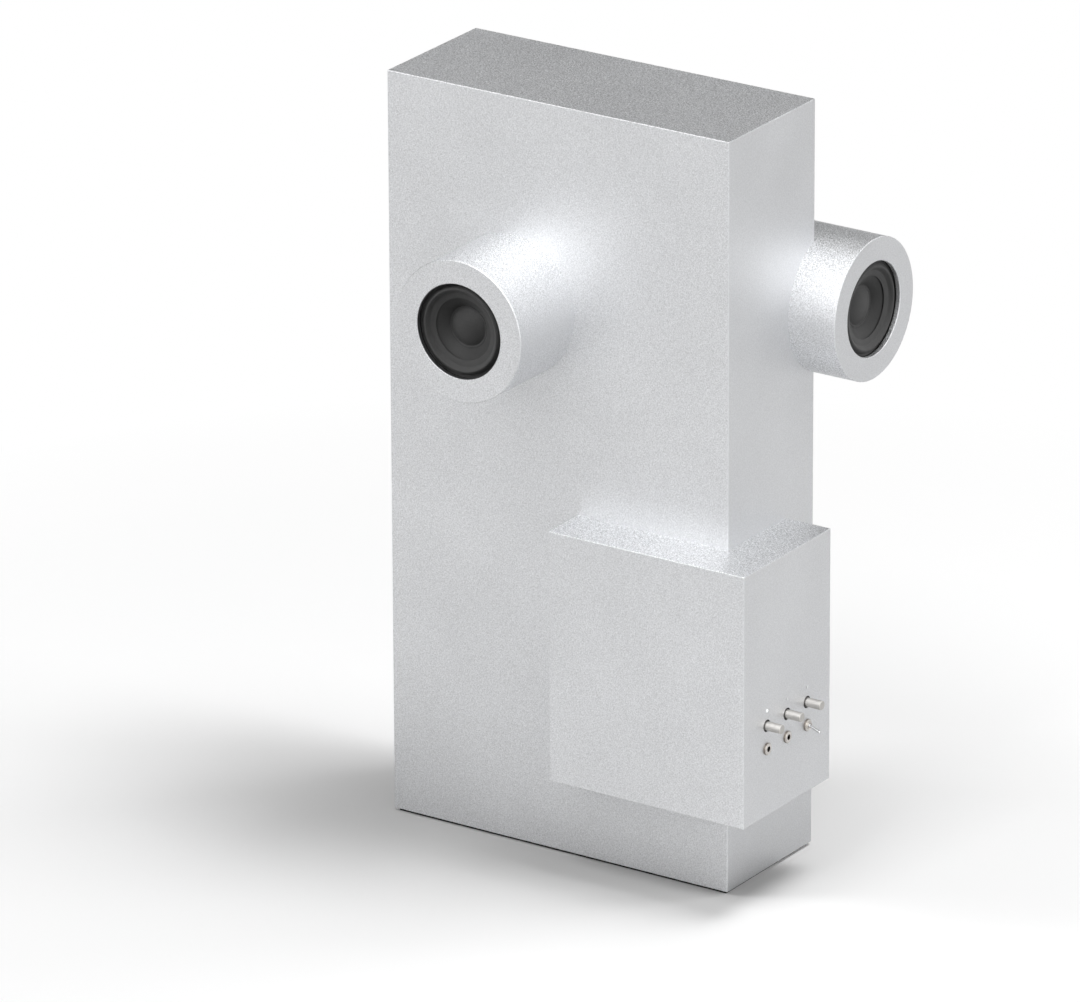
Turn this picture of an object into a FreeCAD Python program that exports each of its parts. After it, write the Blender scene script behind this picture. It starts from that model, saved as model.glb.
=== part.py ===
"""Active loudspeaker: an upright aluminium slab with two drum-shaped speaker pods,
one facing forward and one facing sideways, and a control housing wrapped round a
lower corner.

Millimetres. +X is the side of the controls, -Y is the front and +Z is up. The
origin is the middle of the slab's footprint, on the surface that it stands on.
A driver is modelled along its own axis: its +Z points out of the pod, and zero is
the outer face of the pod.
"""
import FreeCAD, Part
import math
import os
import re
import Sketcher

V = FreeCAD.Vector

SIZES = {
    # Cabinet
    "slab_width": 254.0,
    "slab_depth": 99.0,
    "slab_height": 500.0,
    "slab_wall": 3.0,
    "edge_round": 0.6,
    "base_height": 2.0,
    "base_inset": 2.5,
    # Service opening in the back wall
    "panel_left": -107.0,
    "panel_right": 43.0,
    "panel_bottom": 30.0,
    "panel_top": 472.0,
    "panel_corner": 12.0,
    "panel_gap": 0.3,
    "ledge_lap": 10.0,
    "ledge_weld": 5.0,
    "ledge_thick": 3.0,
    "seal_thick": 1.0,
    "panel_screw_radius": 2.0,
    "panel_screw_head": 3.9,
    "panel_screw_length": 9.0,
    "screw_fit": 0.05,
    "screws_high": 4,
    # Pods
    "pod_radius": 46.5,
    "pod_wall": 4.0,
    "face_thick": 5.0,
    "lip_thick": 3.0,
    "mouth_radius": 31.0,
    "seat_radius": 34.5,
    "pod_chamfer": 0.4,
    "pod_level": 364.7,
    "front_pod_across": -33.7,
    "front_pod_reach": 60.0,
    "side_pod_across": 65.6,
    "side_pod_reach": 34.0,
    "side_pod_length": 93.0,
    "side_pod_end": 3.0,
    "side_window_length": 40.0,
    "side_window_height": 50.0,
    "side_window_depth": 17.0,
    # Driver, from the rim inwards
    "flange_radius": 35.5,
    "flange_thick": 1.6,
    "flange_bore": 29.8,
    "ear_reach": 42.0,
    "ear_width": 10.0,
    "driver_screw_circle": 38.5,
    "driver_screw_radius": 1.5,
    "driver_screw_head": 2.75,
    "driver_screw_head_height": 2.0,
    "driver_screw_bite": 3.0,
    "basket_wall": 1.7,
    "basket_neck": 27.5,
    "basket_depth": 10.0,
    "basket_floor_bore": 14.5,
    "window_sill": 0.7,
    "window_inner": 24.0,
    "window_inner_half": 10.5,
    "window_outer": 37.0,
    "window_outer_half": 17.5,
    "shelf_thick": 1.5,
    "shelf_bore": 23.5,
    "basket_cup": 25.5,
    "basket_floor": 1.5,
    "basket_cup_depth": 4.0,
    "seal_ring_bore": 31.2,
    "seal_ring_radius": 34.3,
    "surround_thick": 0.6,
    "surround_foot": 34.0,
    "roll_centre": 26.8,
    "roll_radius": 3.1,
    "roll_sink": 0.2,
    "glue_width": 3.7,
    "rim_slope": 0.35,
    "cone_radius": 24.0,
    "cone_thick": 0.6,
    "cone_neck_thick": 1.0,
    "cone_depth": 7.2,
    "cone_curve": 20.0,
    "coil_radius": 12.8,
    "former_thick": 0.3,
    "former_length": 13.5,
    "winding_thick": 0.5,
    "winding_length": 7.0,
    "winding_tail": 0.5,
    "glue_line": 0.1,
    "dome_radius": 13.6,
    "dome_thick": 0.4,
    "dome_rise": 3.4,
    "spider_thick": 0.5,
    "spider_wave": 0.7,
    "spider_wave_end": 23.0,
    "spider_radius": 25.5,
    "spider_waves": 3,
    "coil_gap": 0.4,
    "pole_gap": 0.3,
    "top_plate_radius": 24.0,
    "top_plate_thick": 4.0,
    "magnet_radius": 27.0,
    "magnet_bore": 15.5,
    "magnet_thick": 10.0,
    "yoke_radius": 26.0,
    "yoke_thick": 4.0,
    "tag_board_inner": 25.8,
    "tag_board_length": 6.5,
    "tag_board_width": 13.0,
    "tag_board_thick": 1.5,
    "tag_length": 5.0,
    "tag_width": 2.8,
    "tag_thick": 0.5,
    "tag_pitch": 7.0,
    # Control housing
    "housing_width": 145.5,
    "housing_depth": 100.5,
    "housing_height": 169.2,
    "housing_side_reach": 33.1,
    "housing_front_reach": 33.2,
    "housing_level": 64.2,
    "housing_wall": 3.0,
    "front_window_width": 50.0,
    "side_window_width": 50.0,
    "wire_window_height": 110.0,
    # Controls
    "control_pitch": 23.4,
    "lamp_level": 135.4,
    "knob_level": 125.3,
    "socket_level": 109.8,
    "lamp_radius": 1.0,
    "lamp_fit": 0.05,
    "lamp_proud": 0.2,
    "knob_radius": 3.0,
    "knob_gap": 1.0,
    "knob_reach": 11.2,
    "knob_chamfer": 0.3,
    "knob_seat": 0.8,
    "shaft_radius": 1.5,
    "shaft_fit": 0.03,
    "shaft_in_knob": 12.0,
    "shaft_in_pot": 4.5,
    "shaft_end_gap": 0.3,
    "pot_width": 9.5,
    "pot_height": 11.0,
    "pot_depth": 6.5,
    "bushing_radius": 3.0,
    "bushing_fit": 0.1,
    "bushing_proud": 1.4,
    "nut_radius": 4.0,
    "nut_thick": 1.2,
    "nut_chamfer": 0.3,
    "socket_radius": 1.8,
    "socket_depth": 14.0,
    "socket_body": 8.0,
    "toggle_bushing": 2.4,
    "toggle_proud": 2.4,
    "ball_gap": 0.3,
    "toggle_flare": 0.4,
    "toggle_width": 6.8,
    "toggle_height": 11.4,
    "toggle_pivot_depth": 0.7,
    "lever_length": 9.2,
    "lever_root": 0.75,
    "lever_tip": 1.0,
    "lever_ball": 1.3,
    "lever_tilt": 21.0,
    "board_thick": 1.6,
    "board_depth": 11.5,
    "board_margin": 13.0,
    "board_below": 9.8,
    "board_above": 6.6,
    "stud_radius": 2.5,
    "stud_inset": 4.0,
    # Amplifier on the inside of the back panel
    "amp_across": -32.0,
    "amp_level": 120.0,
    "amp_width": 100.0,
    "amp_height": 120.0,
    "amp_stand": 10.0,
    "heatsink_width": 60.0,
    "heatsink_height": 40.0,
    "heatsink_base": 4.0,
    "heatsink_fin": 18.0,
    "heatsink_fin_thick": 2.0,
    "heatsink_fins": 7,
    "capacitor_radius": 8.0,
    "capacitor_length": 25.0,
    "capacitor_pitch": 20.0,
    "coil_can_radius": 7.0,
    "coil_can_length": 12.0,
    "inlet_across": -32.0,
    "inlet_level": 62.0,
    "inlet_radius": 5.5,
    "inlet_fit": 0.05,
    "inlet_bore": 2.9,
    "inlet_depth": 12.0,
    "inlet_length": 16.0,
    "inlet_flange": 7.0,
    "inlet_flange_thick": 1.5,
    "inlet_nut_radius": 8.0,
    "inlet_nut_thick": 2.5,
}

# Places worked out from the sizes
LEFT = "(-slab_width / 2)"
RIGHT = "(slab_width / 2)"
FRONT = "(-slab_depth / 2)"
BACK = "(slab_depth / 2)"
FLOOR = "base_height"
TOP = "(base_height + slab_height)"
PANEL_INSIDE = "(slab_depth / 2 - slab_wall)"
HOUSING_RIGHT = "(slab_width / 2 + housing_side_reach)"
HOUSING_LEFT = "(slab_width / 2 + housing_side_reach - housing_width)"
HOUSING_FRONT = "(-slab_depth / 2 - housing_front_reach)"
HOUSING_REAR = "(-slab_depth / 2 - housing_front_reach + housing_depth)"
HOUSING_TOP = "(housing_level + housing_height)"
CONTROL_WALL = "(slab_width / 2 + housing_side_reach - housing_wall)"
CONTROL_MIDDLE = "(-slab_depth / 2 - housing_front_reach + housing_depth / 2)"
BOARD_FACE = f"({CONTROL_WALL} - board_depth)"
POT_FACE = f"({BOARD_FACE} + pot_depth)"
PIVOT = f"({CONTROL_WALL} + housing_wall + toggle_proud - toggle_pivot_depth)"
AMP_FACE = f"({PANEL_INSIDE} - amp_stand - board_thick)"

# Heights along a driver's own axis
SEAT = "(-face_thick)"
FOOT_TOP = "(-face_thick + surround_thick)"
ROLL_LEVEL = "(-face_thick + surround_thick - roll_sink)"
FLANGE_BACK = "(-face_thick - flange_thick)"
SHELF = "(-face_thick - basket_depth)"
SHELF_BACK = f"({SHELF} - shelf_thick)"
MOTOR = f"({SHELF} - basket_cup_depth)"
GAP_FOOT = f"({MOTOR} - top_plate_thick)"
MAGNET_FOOT = f"({GAP_FOOT} - magnet_thick)"
GLUE_INNER = "(cone_radius - glue_width)"
GLUE_DROP = "(glue_width * rim_slope)"
NECK = "(-face_thick - cone_depth)"
DOME_FOOT = f"({NECK} + cone_neck_thick)"

AXES = {
    "up": FreeCAD.Rotation(),
    "front": FreeCAD.Rotation(V(1, 0, 0), 90),
    "side": FreeCAD.Rotation(V(1, 1, 1), 120),
    "lever": FreeCAD.Rotation(V(0, 1, 0), 90),
}
SCREW_ANGLE = 45
DRIVER_SCREWS = 4
COLUMNS = {"left": -1, "middle": 0, "right": 1}

doc = FreeCAD.newDocument("loudspeaker")
sheet = doc.addObject("Spreadsheet::Sheet", "Sizes")
pieces = {}


def fill_sheet():
    for row, (word, size) in enumerate(SIZES.items(), 1):
        sheet.set(f"A{row}", word)
        sheet.set(f"B{row}", str(size))
        sheet.setAlias(f"B{row}", word)
    doc.recompute()


def cell(text):
    """The same expression with each size read from the sheet."""
    return re.sub(r"[a-z_]+", lambda word: f"Sizes.{word[0]}" if word[0] in SIZES else word[0], str(text))


def number(text):
    return float(sheet.evalExpression(cell(text)))


def bind(thing, **sizes):
    for prop, text in sizes.items():
        thing.setExpression(prop, cell(text))
    return thing


def put(thing, across="0", along="0", up="0", axis="up"):
    """Place a thing whose own +Z points along the named axis."""
    thing.Placement = FreeCAD.Placement(V(0, 0, 0), AXES[axis])
    for letter, text in zip("xyz", (across, along, up)):
        thing.setExpression(f"Placement.Base.{letter}", cell(text))
    return thing


def keep(name, thing):
    thing.Label = name
    pieces[name] = thing
    return thing


def box(name, low, high):
    """A block between two corners, each given as three expressions."""
    block = doc.addObject("Part::Box", name)
    for prop, near, far in zip(("Length", "Width", "Height"), low, high):
        bind(block, **{prop: f"({far}) - ({near})"})
    return put(block, *low)


def rod(name, radius, length, across="0", along="0", up="0", axis="up"):
    bar = doc.addObject("Part::Cylinder", name)
    bind(bar, Radius=radius, Height=length)
    return put(bar, across, along, up, axis)


def taper(name, foot, head, length, across="0", along="0", up="0", axis="up"):
    bar = doc.addObject("Part::Cone", name)
    bind(bar, Radius1=foot, Radius2=head, Height=length)
    return put(bar, across, along, up, axis)


def joined(name, things):
    if len(things) == 1:
        return things[0]
    whole = doc.addObject("Part::MultiFuse", name)
    whole.Shapes = things
    return whole


def without(name, base, tools):
    cut = doc.addObject("Part::Cut", name)
    cut.Base = base
    cut.Tool = joined(f"{name}_tools", tools)
    return cut


def group(name, things):
    several = doc.addObject("Part::Compound", name)
    several.Links = things
    return several


def arc_centre(start, end, radius, turn):
    """Centre of the shorter arc, on the left of its way if it turns anticlockwise."""
    middle = (start + end) * 0.5
    half = (end - start) * 0.5
    rise = math.sqrt(max(radius**2 - half.Length**2, 0))
    aside = V(-half.y, half.x, 0)
    aside.normalize()
    return middle + aside * rise * turn


def draw_edge(start, end, arc):
    if arc is None:
        return Part.LineSegment(start, end)
    radius, turn = number(arc[0]), arc[1]
    centre = V(number(arc[2]), number(arc[3]), 0) if len(arc) > 2 else arc_centre(start, end, radius, turn)
    angles = [math.atan2(p.y - centre.y, p.x - centre.x) for p in (start, end)[::turn]]
    if angles[1] <= angles[0]:
        angles[1] += 2 * math.pi
    return Part.ArcOfCircle(Part.Circle(centre, V(0, 0, 1), radius), *angles)


def outline(body, name, role, points, offset="0", angle=0):
    """A closed sketch on one of the body's planes.

    A point is (across, up), and a third entry makes the edge that leaves it an arc:
    (radius, turn) or (radius, turn, centre across, centre up), with turn 1 for
    anticlockwise and -1 for clockwise. A coordinate that starts with ~ is only
    where the drawing starts, and the arc beside it settles it.
    """
    plane = next(f for f in body.Origin.OriginFeatures if f.Role == role)
    sketch = body.newObject("Sketcher::SketchObject", name)
    sketch.AttachmentSupport = [(plane, "")]
    sketch.MapMode = "FlatFace"
    sketch.AttachmentOffset = FreeCAD.Placement(V(0, 0, 0), FreeCAD.Rotation(V(0, 0, 1), angle))
    sketch.setExpression("AttachmentOffset.Base.z", cell(offset))
    corners = [V(number(p[0].lstrip("~")), number(p[1].lstrip("~")), 0) for p in points]
    arcs = [p[2] if len(p) > 2 else None for p in points]
    count = len(points)
    for i in range(count):
        sketch.addGeometry(draw_edge(corners[i], corners[(i + 1) % count], arcs[i]), False)
    ends = [(2, 1) if arc and arc[1] < 0 else (1, 2) for arc in arcs]

    def hold(kind, *items, text):
        index = sketch.addConstraint(Sketcher.Constraint(kind, *items, number(text)))
        sketch.setExpression(f"Constraints[{index}]", cell(text))

    for i in range(count):
        after = (i + 1) % count
        sketch.addConstraint(Sketcher.Constraint("Coincident", i, ends[i][1], after, ends[after][0]))
    for i, point in enumerate(points):
        for kind, text in zip(("DistanceX", "DistanceY"), point[:2]):
            if not text.startswith("~"):
                hold(kind, -1, 1, i, ends[i][0], text=text)
        if arcs[i]:
            hold("Radius", i, text=arcs[i][0])
        if arcs[i] and len(arcs[i]) > 2:
            hold("DistanceX", -1, 1, i, 3, text=arcs[i][2])
            hold("DistanceY", -1, 1, i, 3, text=arcs[i][3])
    return sketch


def new_body(name):
    return doc.addObject("PartDesign::Body", name)


def turned(name, points):
    """A body turned about its own Z from an outline of (radius, height) points."""
    body = new_body(name)
    sketch = outline(body, f"{name}_outline", "XZ_Plane", points)
    turn = body.newObject("PartDesign::Revolution", f"{name}_turn")
    turn.Profile = sketch
    turn.ReferenceAxis = (sketch, ["V_Axis"])
    turn.Angle = 360
    return body


def ring(name, bore, radius, foot, head):
    return turned(name, [(bore, foot), (radius, foot), (radius, head), (bore, head)])


def rounded_block(name, low, high, radius):
    """A block between two corners with every edge rounded."""
    body = new_body(name)
    corners = [(low[0], low[1]), (high[0], low[1]), (high[0], high[1]), (low[0], high[1])]
    sketch = outline(body, f"{name}_outline", "XY_Plane", corners, offset=low[2])
    pad = body.newObject("PartDesign::Pad", f"{name}_pad")
    pad.Profile = sketch
    bind(pad, Length=f"({high[2]}) - ({low[2]})")
    doc.recompute()
    fillet = body.newObject("PartDesign::Fillet", f"{name}_edges")
    fillet.Base = (pad, [])
    fillet.UseAllEdges = True
    bind(fillet, Radius=radius)
    return body


def upright_plate(name, grow, back, thick):
    """A plate in the back wall with rounded corners, larger all round by grow."""
    left, right = f"panel_left - ({grow})", f"panel_right + ({grow})"
    low, high = f"panel_bottom - ({grow})", f"panel_top + ({grow})"
    radius = f"panel_corner + ({grow})"
    inner_left, inner_right = f"{left} + {radius}", f"{right} - ({radius})"
    inner_low, inner_high = f"{low} + {radius}", f"{high} - ({radius})"
    points = [
        (inner_left, f"~{low}"),
        (inner_right, f"~{low}", (radius, 1, inner_right, inner_low)),
        (f"~{right}", inner_low),
        (f"~{right}", inner_high, (radius, 1, inner_right, inner_high)),
        (inner_right, f"~{high}"),
        (inner_left, f"~{high}", (radius, 1, inner_left, inner_high)),
        (f"~{left}", inner_high),
        (f"~{left}", inner_low, (radius, 1, inner_left, inner_low)),
    ]
    body = new_body(name)
    sketch = outline(body, f"{name}_outline", "XZ_Plane", points, offset=f"-({back})")
    pad = body.newObject("PartDesign::Pad", f"{name}_pad")
    pad.Profile = sketch
    bind(pad, Length=thick)
    return body


def panel_screw_places():
    """Screws along both uprights of the ledge and in the middle of its ends."""
    rows = int(SIZES["screws_high"])
    left, right = "panel_left + ledge_lap / 2", "panel_right - ledge_lap / 2"
    low, high = "panel_bottom + ledge_lap", "panel_top - ledge_lap"
    places = [
        (side, f"{low} + ({high} - ({low})) * {row} / (screws_high - 1)")
        for side in (left, right)
        for row in range(rows)
    ]
    middle = "(panel_left + panel_right) / 2"
    places += [(middle, "panel_bottom + ledge_lap / 2"), (middle, "panel_top - ledge_lap / 2")]
    return places


def countersunk(name, across, up, grow="0"):
    """A countersunk screw driven in from the back, or the hole for it."""
    sink = "panel_screw_head - panel_screw_radius"
    head = taper(
        f"{name}_head", f"panel_screw_head + {grow}", f"panel_screw_radius + {grow}",
        sink, across, BACK, up, "front",
    )
    shank = rod(
        f"{name}_shank", f"panel_screw_radius + {grow}", f"panel_screw_length + {grow}",
        across, BACK, up, "front",
    )
    return joined(name, [head, shank])


def cabinet_shell():
    outer = rounded_block(
        "cabinet_outer", (LEFT, FRONT, FLOOR), (RIGHT, BACK, TOP), "edge_round"
    )
    room = box(
        "cabinet_room",
        (f"{LEFT} + slab_wall", f"{FRONT} + slab_wall", f"{FLOOR} + slab_wall"),
        (f"{RIGHT} - slab_wall", PANEL_INSIDE, f"{TOP} - slab_wall"),
    )
    hollow = without("cabinet_hollow", outer, [room])
    frame = upright_plate("ledge_frame", "ledge_weld", PANEL_INSIDE, "seal_thick + ledge_thick")
    framed = joined("cabinet_framed", [hollow, frame])
    tools = [
        upright_plate("panel_opening", "0", f"{BACK} + edge_round", "slab_wall + seal_thick + edge_round"),
        upright_plate("ledge_opening", "-ledge_lap", PANEL_INSIDE, "2 * ledge_thick + seal_thick"),
        rod("front_pod_hole", "pod_radius - pod_wall", "3 * slab_wall", "front_pod_across",
            f"{FRONT} + 2 * slab_wall", "pod_level", "front"),
        rod("side_pod_notch", "pod_radius", "side_pod_length",
            f"{RIGHT} + side_pod_reach - side_pod_length", "side_pod_across", "pod_level", "side"),
        box("front_wire_window",
            (f"{RIGHT} - slab_wall * 4 - front_window_width", f"{FRONT} - slab_wall",
             f"{HOUSING_TOP} - housing_height / 2 - wire_window_height / 2"),
            (f"{RIGHT} - slab_wall * 4", f"{FRONT} + 2 * slab_wall",
             f"{HOUSING_TOP} - housing_height / 2 + wire_window_height / 2")),
        box("side_wire_window",
            (f"{RIGHT} - 2 * slab_wall", f"{CONTROL_MIDDLE} - side_window_width / 4",
             f"{HOUSING_TOP} - housing_height / 2 - wire_window_height / 2"),
            (f"{RIGHT} + slab_wall", f"{CONTROL_MIDDLE} + side_window_width * 3 / 4",
             f"{HOUSING_TOP} - housing_height / 2 + wire_window_height / 2")),
    ]
    for i, place in enumerate(panel_screw_places()):
        tools.append(countersunk(f"ledge_hole_{i + 1}", *place, grow="screw_fit"))
    return keep("cabinet_shell", without("cabinet_shell", framed, tools))


def base_pad():
    return keep("base_pad", box(
        "base_pad",
        (f"{LEFT} + base_inset", f"{FRONT} + base_inset", "0"),
        (f"{RIGHT} - base_inset", f"{BACK} - base_inset", FLOOR),
    ))


def back_panel():
    plate = upright_plate("back_panel_plate", "-panel_gap", BACK, "slab_wall")
    holes = [
        countersunk(f"panel_hole_{i + 1}", *place, grow="screw_fit")
        for i, place in enumerate(panel_screw_places())
    ]
    holes.append(rod("inlet_hole", "inlet_radius + inlet_fit", "3 * slab_wall",
                     "inlet_across", f"{BACK} + slab_wall", "inlet_level", "front"))
    keep("back_panel", without("back_panel", plate, holes))

    strip = upright_plate("seal_outer", "-panel_gap", PANEL_INSIDE, "seal_thick")
    middle = upright_plate("seal_inner", "-ledge_lap", BACK, "2 * slab_wall + seal_thick")
    holes = [
        countersunk(f"seal_hole_{i + 1}", *place, grow="screw_fit")
        for i, place in enumerate(panel_screw_places())
    ]
    keep("back_panel_gasket", without("back_panel_gasket", strip, [middle] + holes))

    screws = [
        countersunk(f"panel_screw_{i + 1}", *place) for i, place in enumerate(panel_screw_places())
    ]
    keep("back_panel_screws", group("back_panel_screws", screws))


def power_inlet():
    """Low-voltage supply socket with its flange outside and its nut inside."""
    across, up = "inlet_across", "inlet_level"
    barrel = rod("inlet_barrel", "inlet_radius", "inlet_length", across, BACK, up, "front")
    flange = rod("inlet_lip", "inlet_flange", "inlet_flange_thick",
                 across, f"{BACK} + inlet_flange_thick", up, "front")
    bore = rod("inlet_socket", "inlet_bore", "inlet_depth + inlet_flange_thick",
               across, f"{BACK} + inlet_flange_thick", up, "front")
    shell = joined("inlet_shell", [barrel, flange])
    keep("power_inlet", without("power_inlet", shell, [bore]))

    nut = rod("inlet_nut_disc", "inlet_nut_radius", "inlet_nut_thick", across, PANEL_INSIDE, up, "front")
    hole = rod("inlet_nut_hole", "inlet_radius + inlet_fit", "3 * inlet_nut_thick",
               across, f"{PANEL_INSIDE} + inlet_nut_thick", up, "front")
    keep("power_inlet_nut", without("power_inlet_nut", nut, [hole]))


def pod_outline(length, end):
    """Section of a drum with its mouth, its lip and the seat of the driver."""
    bore = "pod_radius - pod_wall"
    points = [
        ("mouth_radius", "-lip_thick"),
        ("seat_radius", "-lip_thick"),
        ("seat_radius", SEAT),
        (bore, SEAT),
    ]
    if end:
        points += [(bore, f"{end} - {length}"), ("0", f"{end} - {length}"), ("0", f"-{length}")]
    else:
        points += [(bore, f"-{length}")]
    points += [
        ("pod_radius", f"-{length}"),
        ("pod_radius", "-pod_chamfer"),
        ("pod_radius - pod_chamfer", "0"),
        ("mouth_radius + pod_chamfer", "0"),
        ("mouth_radius", "-pod_chamfer"),
    ]
    return points


def around(radius, step):
    """Place of one of a driver's screws, on a circle about its axis."""
    degrees = SCREW_ANGLE + 360 / DRIVER_SCREWS * step
    return f"{radius} * cos({degrees})", f"{radius} * sin({degrees})"


def pods():
    front = turned("front_pod_drum", pod_outline("front_pod_reach", None))
    side = turned("side_pod_drum", pod_outline("side_pod_length", "side_pod_end"))
    for name, drum in (("front", front), ("side", side)):
        tools = [
            rod(f"{name}_pod_tapping_{i + 1}", "driver_screw_radius + screw_fit",
                "2 * driver_screw_bite", *around("driver_screw_circle", i),
                f"{SEAT} - driver_screw_bite")
            for i in range(DRIVER_SCREWS)
        ]
        if name == "side":
            inside = f"(side_pod_length - side_pod_reach + {SEAT})"
            tools.append(box(
                "side_pod_window",
                ("-pod_radius - pod_wall", "-side_window_height / 2",
                 f"-side_pod_reach - {inside} / 2 - side_window_length / 2"),
                ("side_window_depth - pod_radius", "side_window_height / 2",
                 f"-side_pod_reach - {inside} / 2 + side_window_length / 2"),
            ))
        keep(f"{name}_pod", put(without(f"{name}_pod", drum, tools), *pod_place(name)))


def pod_place(name):
    if name == "front":
        return "front_pod_across", f"{FRONT} - front_pod_reach", "pod_level", "front"
    return f"{RIGHT} + side_pod_reach", "side_pod_across", "pod_level", "side"


def basket(name):
    """Cast frame: flange with four ears, open conical wall, spider shelf and motor seat."""
    body = turned(f"{name}_frame", [
        ("flange_bore", SEAT),
        ("flange_bore", FLANGE_BACK),
        ("basket_neck - basket_wall", SHELF),
        ("shelf_bore", SHELF),
        ("shelf_bore", SHELF_BACK),
        ("basket_cup - basket_wall", SHELF_BACK),
        ("basket_cup - basket_wall", f"{MOTOR} + basket_floor"),
        ("basket_floor_bore", f"{MOTOR} + basket_floor"),
        ("basket_floor_bore", MOTOR),
        ("basket_cup", MOTOR),
        ("basket_cup", SHELF_BACK),
        ("basket_neck", SHELF_BACK),
        ("basket_neck", SHELF),
        ("flange_bore + basket_wall", FLANGE_BACK),
        ("flange_radius", FLANGE_BACK),
        ("flange_radius", SEAT),
    ])
    window = outline(body, f"{name}_window", "XY_Plane", [
        ("window_inner", "-window_inner_half"),
        ("window_outer", "-window_outer_half"),
        ("window_outer", "window_outer_half"),
        ("window_inner", "window_inner_half"),
    ], offset=f"{SHELF} + window_sill")
    cut = body.newObject("PartDesign::Pocket", f"{name}_window_cut")
    cut.Profile = window
    cut.Reversed = True
    bind(cut, Length=f"{FLANGE_BACK} - ({SHELF}) - 2 * window_sill")
    repeated(body, cut, window, DRIVER_SCREWS)
    ear = outline(body, f"{name}_ear", "XY_Plane", [
        ("flange_bore + basket_wall", "-ear_width / 2"),
        ("ear_reach", "-ear_width / 2"),
        ("ear_reach", "ear_width / 2"),
        ("flange_bore + basket_wall", "ear_width / 2"),
    ], offset=FLANGE_BACK, angle=SCREW_ANGLE)
    pad = body.newObject("PartDesign::Pad", f"{name}_ear_pad")
    pad.Profile = ear
    bind(pad, Length="flange_thick")
    repeated(body, pad, ear, DRIVER_SCREWS)
    holes = [
        rod(f"{name}_screw_hole_{i + 1}", "driver_screw_radius + screw_fit", "3 * flange_thick",
            *around("driver_screw_circle", i), f"{SEAT} - 2 * flange_thick")
        for i in range(DRIVER_SCREWS)
    ]
    return without(name, body, holes)


def repeated(body, feature, sketch, count):
    """Repeat a feature of a body round the axis of its sketch."""
    pattern = body.newObject("PartDesign::PolarPattern", f"{feature.Name}_pattern")
    pattern.Originals = [feature]
    pattern.Axis = (sketch, ["N_Axis"])
    pattern.Angle = 360
    pattern.Occurrences = count
    body.Tip = pattern


def surround(name):
    """Half-roll rubber edge: foot on the basket, roll, and glue lap on the cone."""
    inner = "roll_radius - surround_thick"
    return turned(name, [
        ("surround_foot", FOOT_TOP),
        ("~roll_centre + roll_radius", FOOT_TOP, ("roll_radius", 1, "roll_centre", ROLL_LEVEL)),
        ("~roll_centre - roll_radius", FOOT_TOP),
        (GLUE_INNER, f"{FOOT_TOP} - {GLUE_DROP} + glue_line"),
        (GLUE_INNER, f"{SEAT} - {GLUE_DROP} + glue_line"),
        ("cone_radius", f"{SEAT} + glue_line"),
        (f"~roll_centre - ({inner})", SEAT, (inner, -1, "roll_centre", ROLL_LEVEL)),
        (f"~roll_centre + {inner}", SEAT),
        ("surround_foot", SEAT),
    ])


def cone(name):
    """Curved paper cone between the glue lap and the voice coil."""
    return turned(name, [
        ("cone_radius", SEAT),
        (GLUE_INNER, f"{SEAT} - {GLUE_DROP}", ("cone_curve", 1)),
        ("coil_radius", NECK),
        ("coil_radius", f"{NECK} - cone_neck_thick", ("cone_curve - cone_thick", -1)),
        (GLUE_INNER, f"{SEAT} - {GLUE_DROP} - cone_thick"),
        ("cone_radius", f"{SEAT} - cone_thick"),
    ])


def dome_radius(radius, rise):
    """Radius of the ball whose cap has this foot radius and this rise."""
    return f"((({radius}) ^ 2 + ({rise}) ^ 2) / (2 * ({rise})))"


def dust_cap(name):
    inner_foot = "dome_radius - dome_thick"
    inner_rise = "dome_rise - dome_thick"
    return turned(name, [
        (inner_foot, DOME_FOOT),
        ("dome_radius", DOME_FOOT, (dome_radius("dome_radius", "dome_rise"), 1)),
        ("0", f"{DOME_FOOT} + dome_rise"),
        ("0", f"{DOME_FOOT} + {inner_rise}", (dome_radius(inner_foot, inner_rise), -1)),
    ])


def voice_coil(name):
    """Former glued in the cone's neck, with its winding in the magnet's gap."""
    foot = f"{NECK} - former_length"
    return turned(name, [
        ("coil_radius - former_thick", foot),
        ("coil_radius", foot),
        ("coil_radius", f"{foot} + winding_tail"),
        ("coil_radius + winding_thick", f"{foot} + winding_tail"),
        ("coil_radius + winding_thick", f"{foot} + winding_tail + winding_length"),
        ("coil_radius", f"{foot} + winding_tail + winding_length"),
        ("coil_radius", f"{NECK} + former_thick"),
        ("coil_radius - former_thick", f"{NECK} + former_thick"),
    ])


def spider(name):
    """Corrugated cloth disc between the coil former and the basket's shelf."""
    waves = int(SIZES["spider_waves"])
    inner, outer = "(coil_radius + glue_line)", "spider_wave_end"
    steps = 4 * waves
    top = [(inner, f"{SHELF} + spider_thick")]
    for i in range(1, steps, 2):
        height = "+ spider_wave" if i % 4 == 1 else "- spider_wave"
        top.append((
            f"{inner} + ({outer} - {inner}) * {i} / (4 * spider_waves)",
            f"{SHELF} + spider_thick {height}",
        ))
    top.append((outer, f"{SHELF} + spider_thick"))
    top.append(("spider_radius", f"{SHELF} + spider_thick"))
    bottom = [(across, f"{up} - spider_thick") for across, up in reversed(top)]
    return turned(name, top + bottom)


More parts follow.
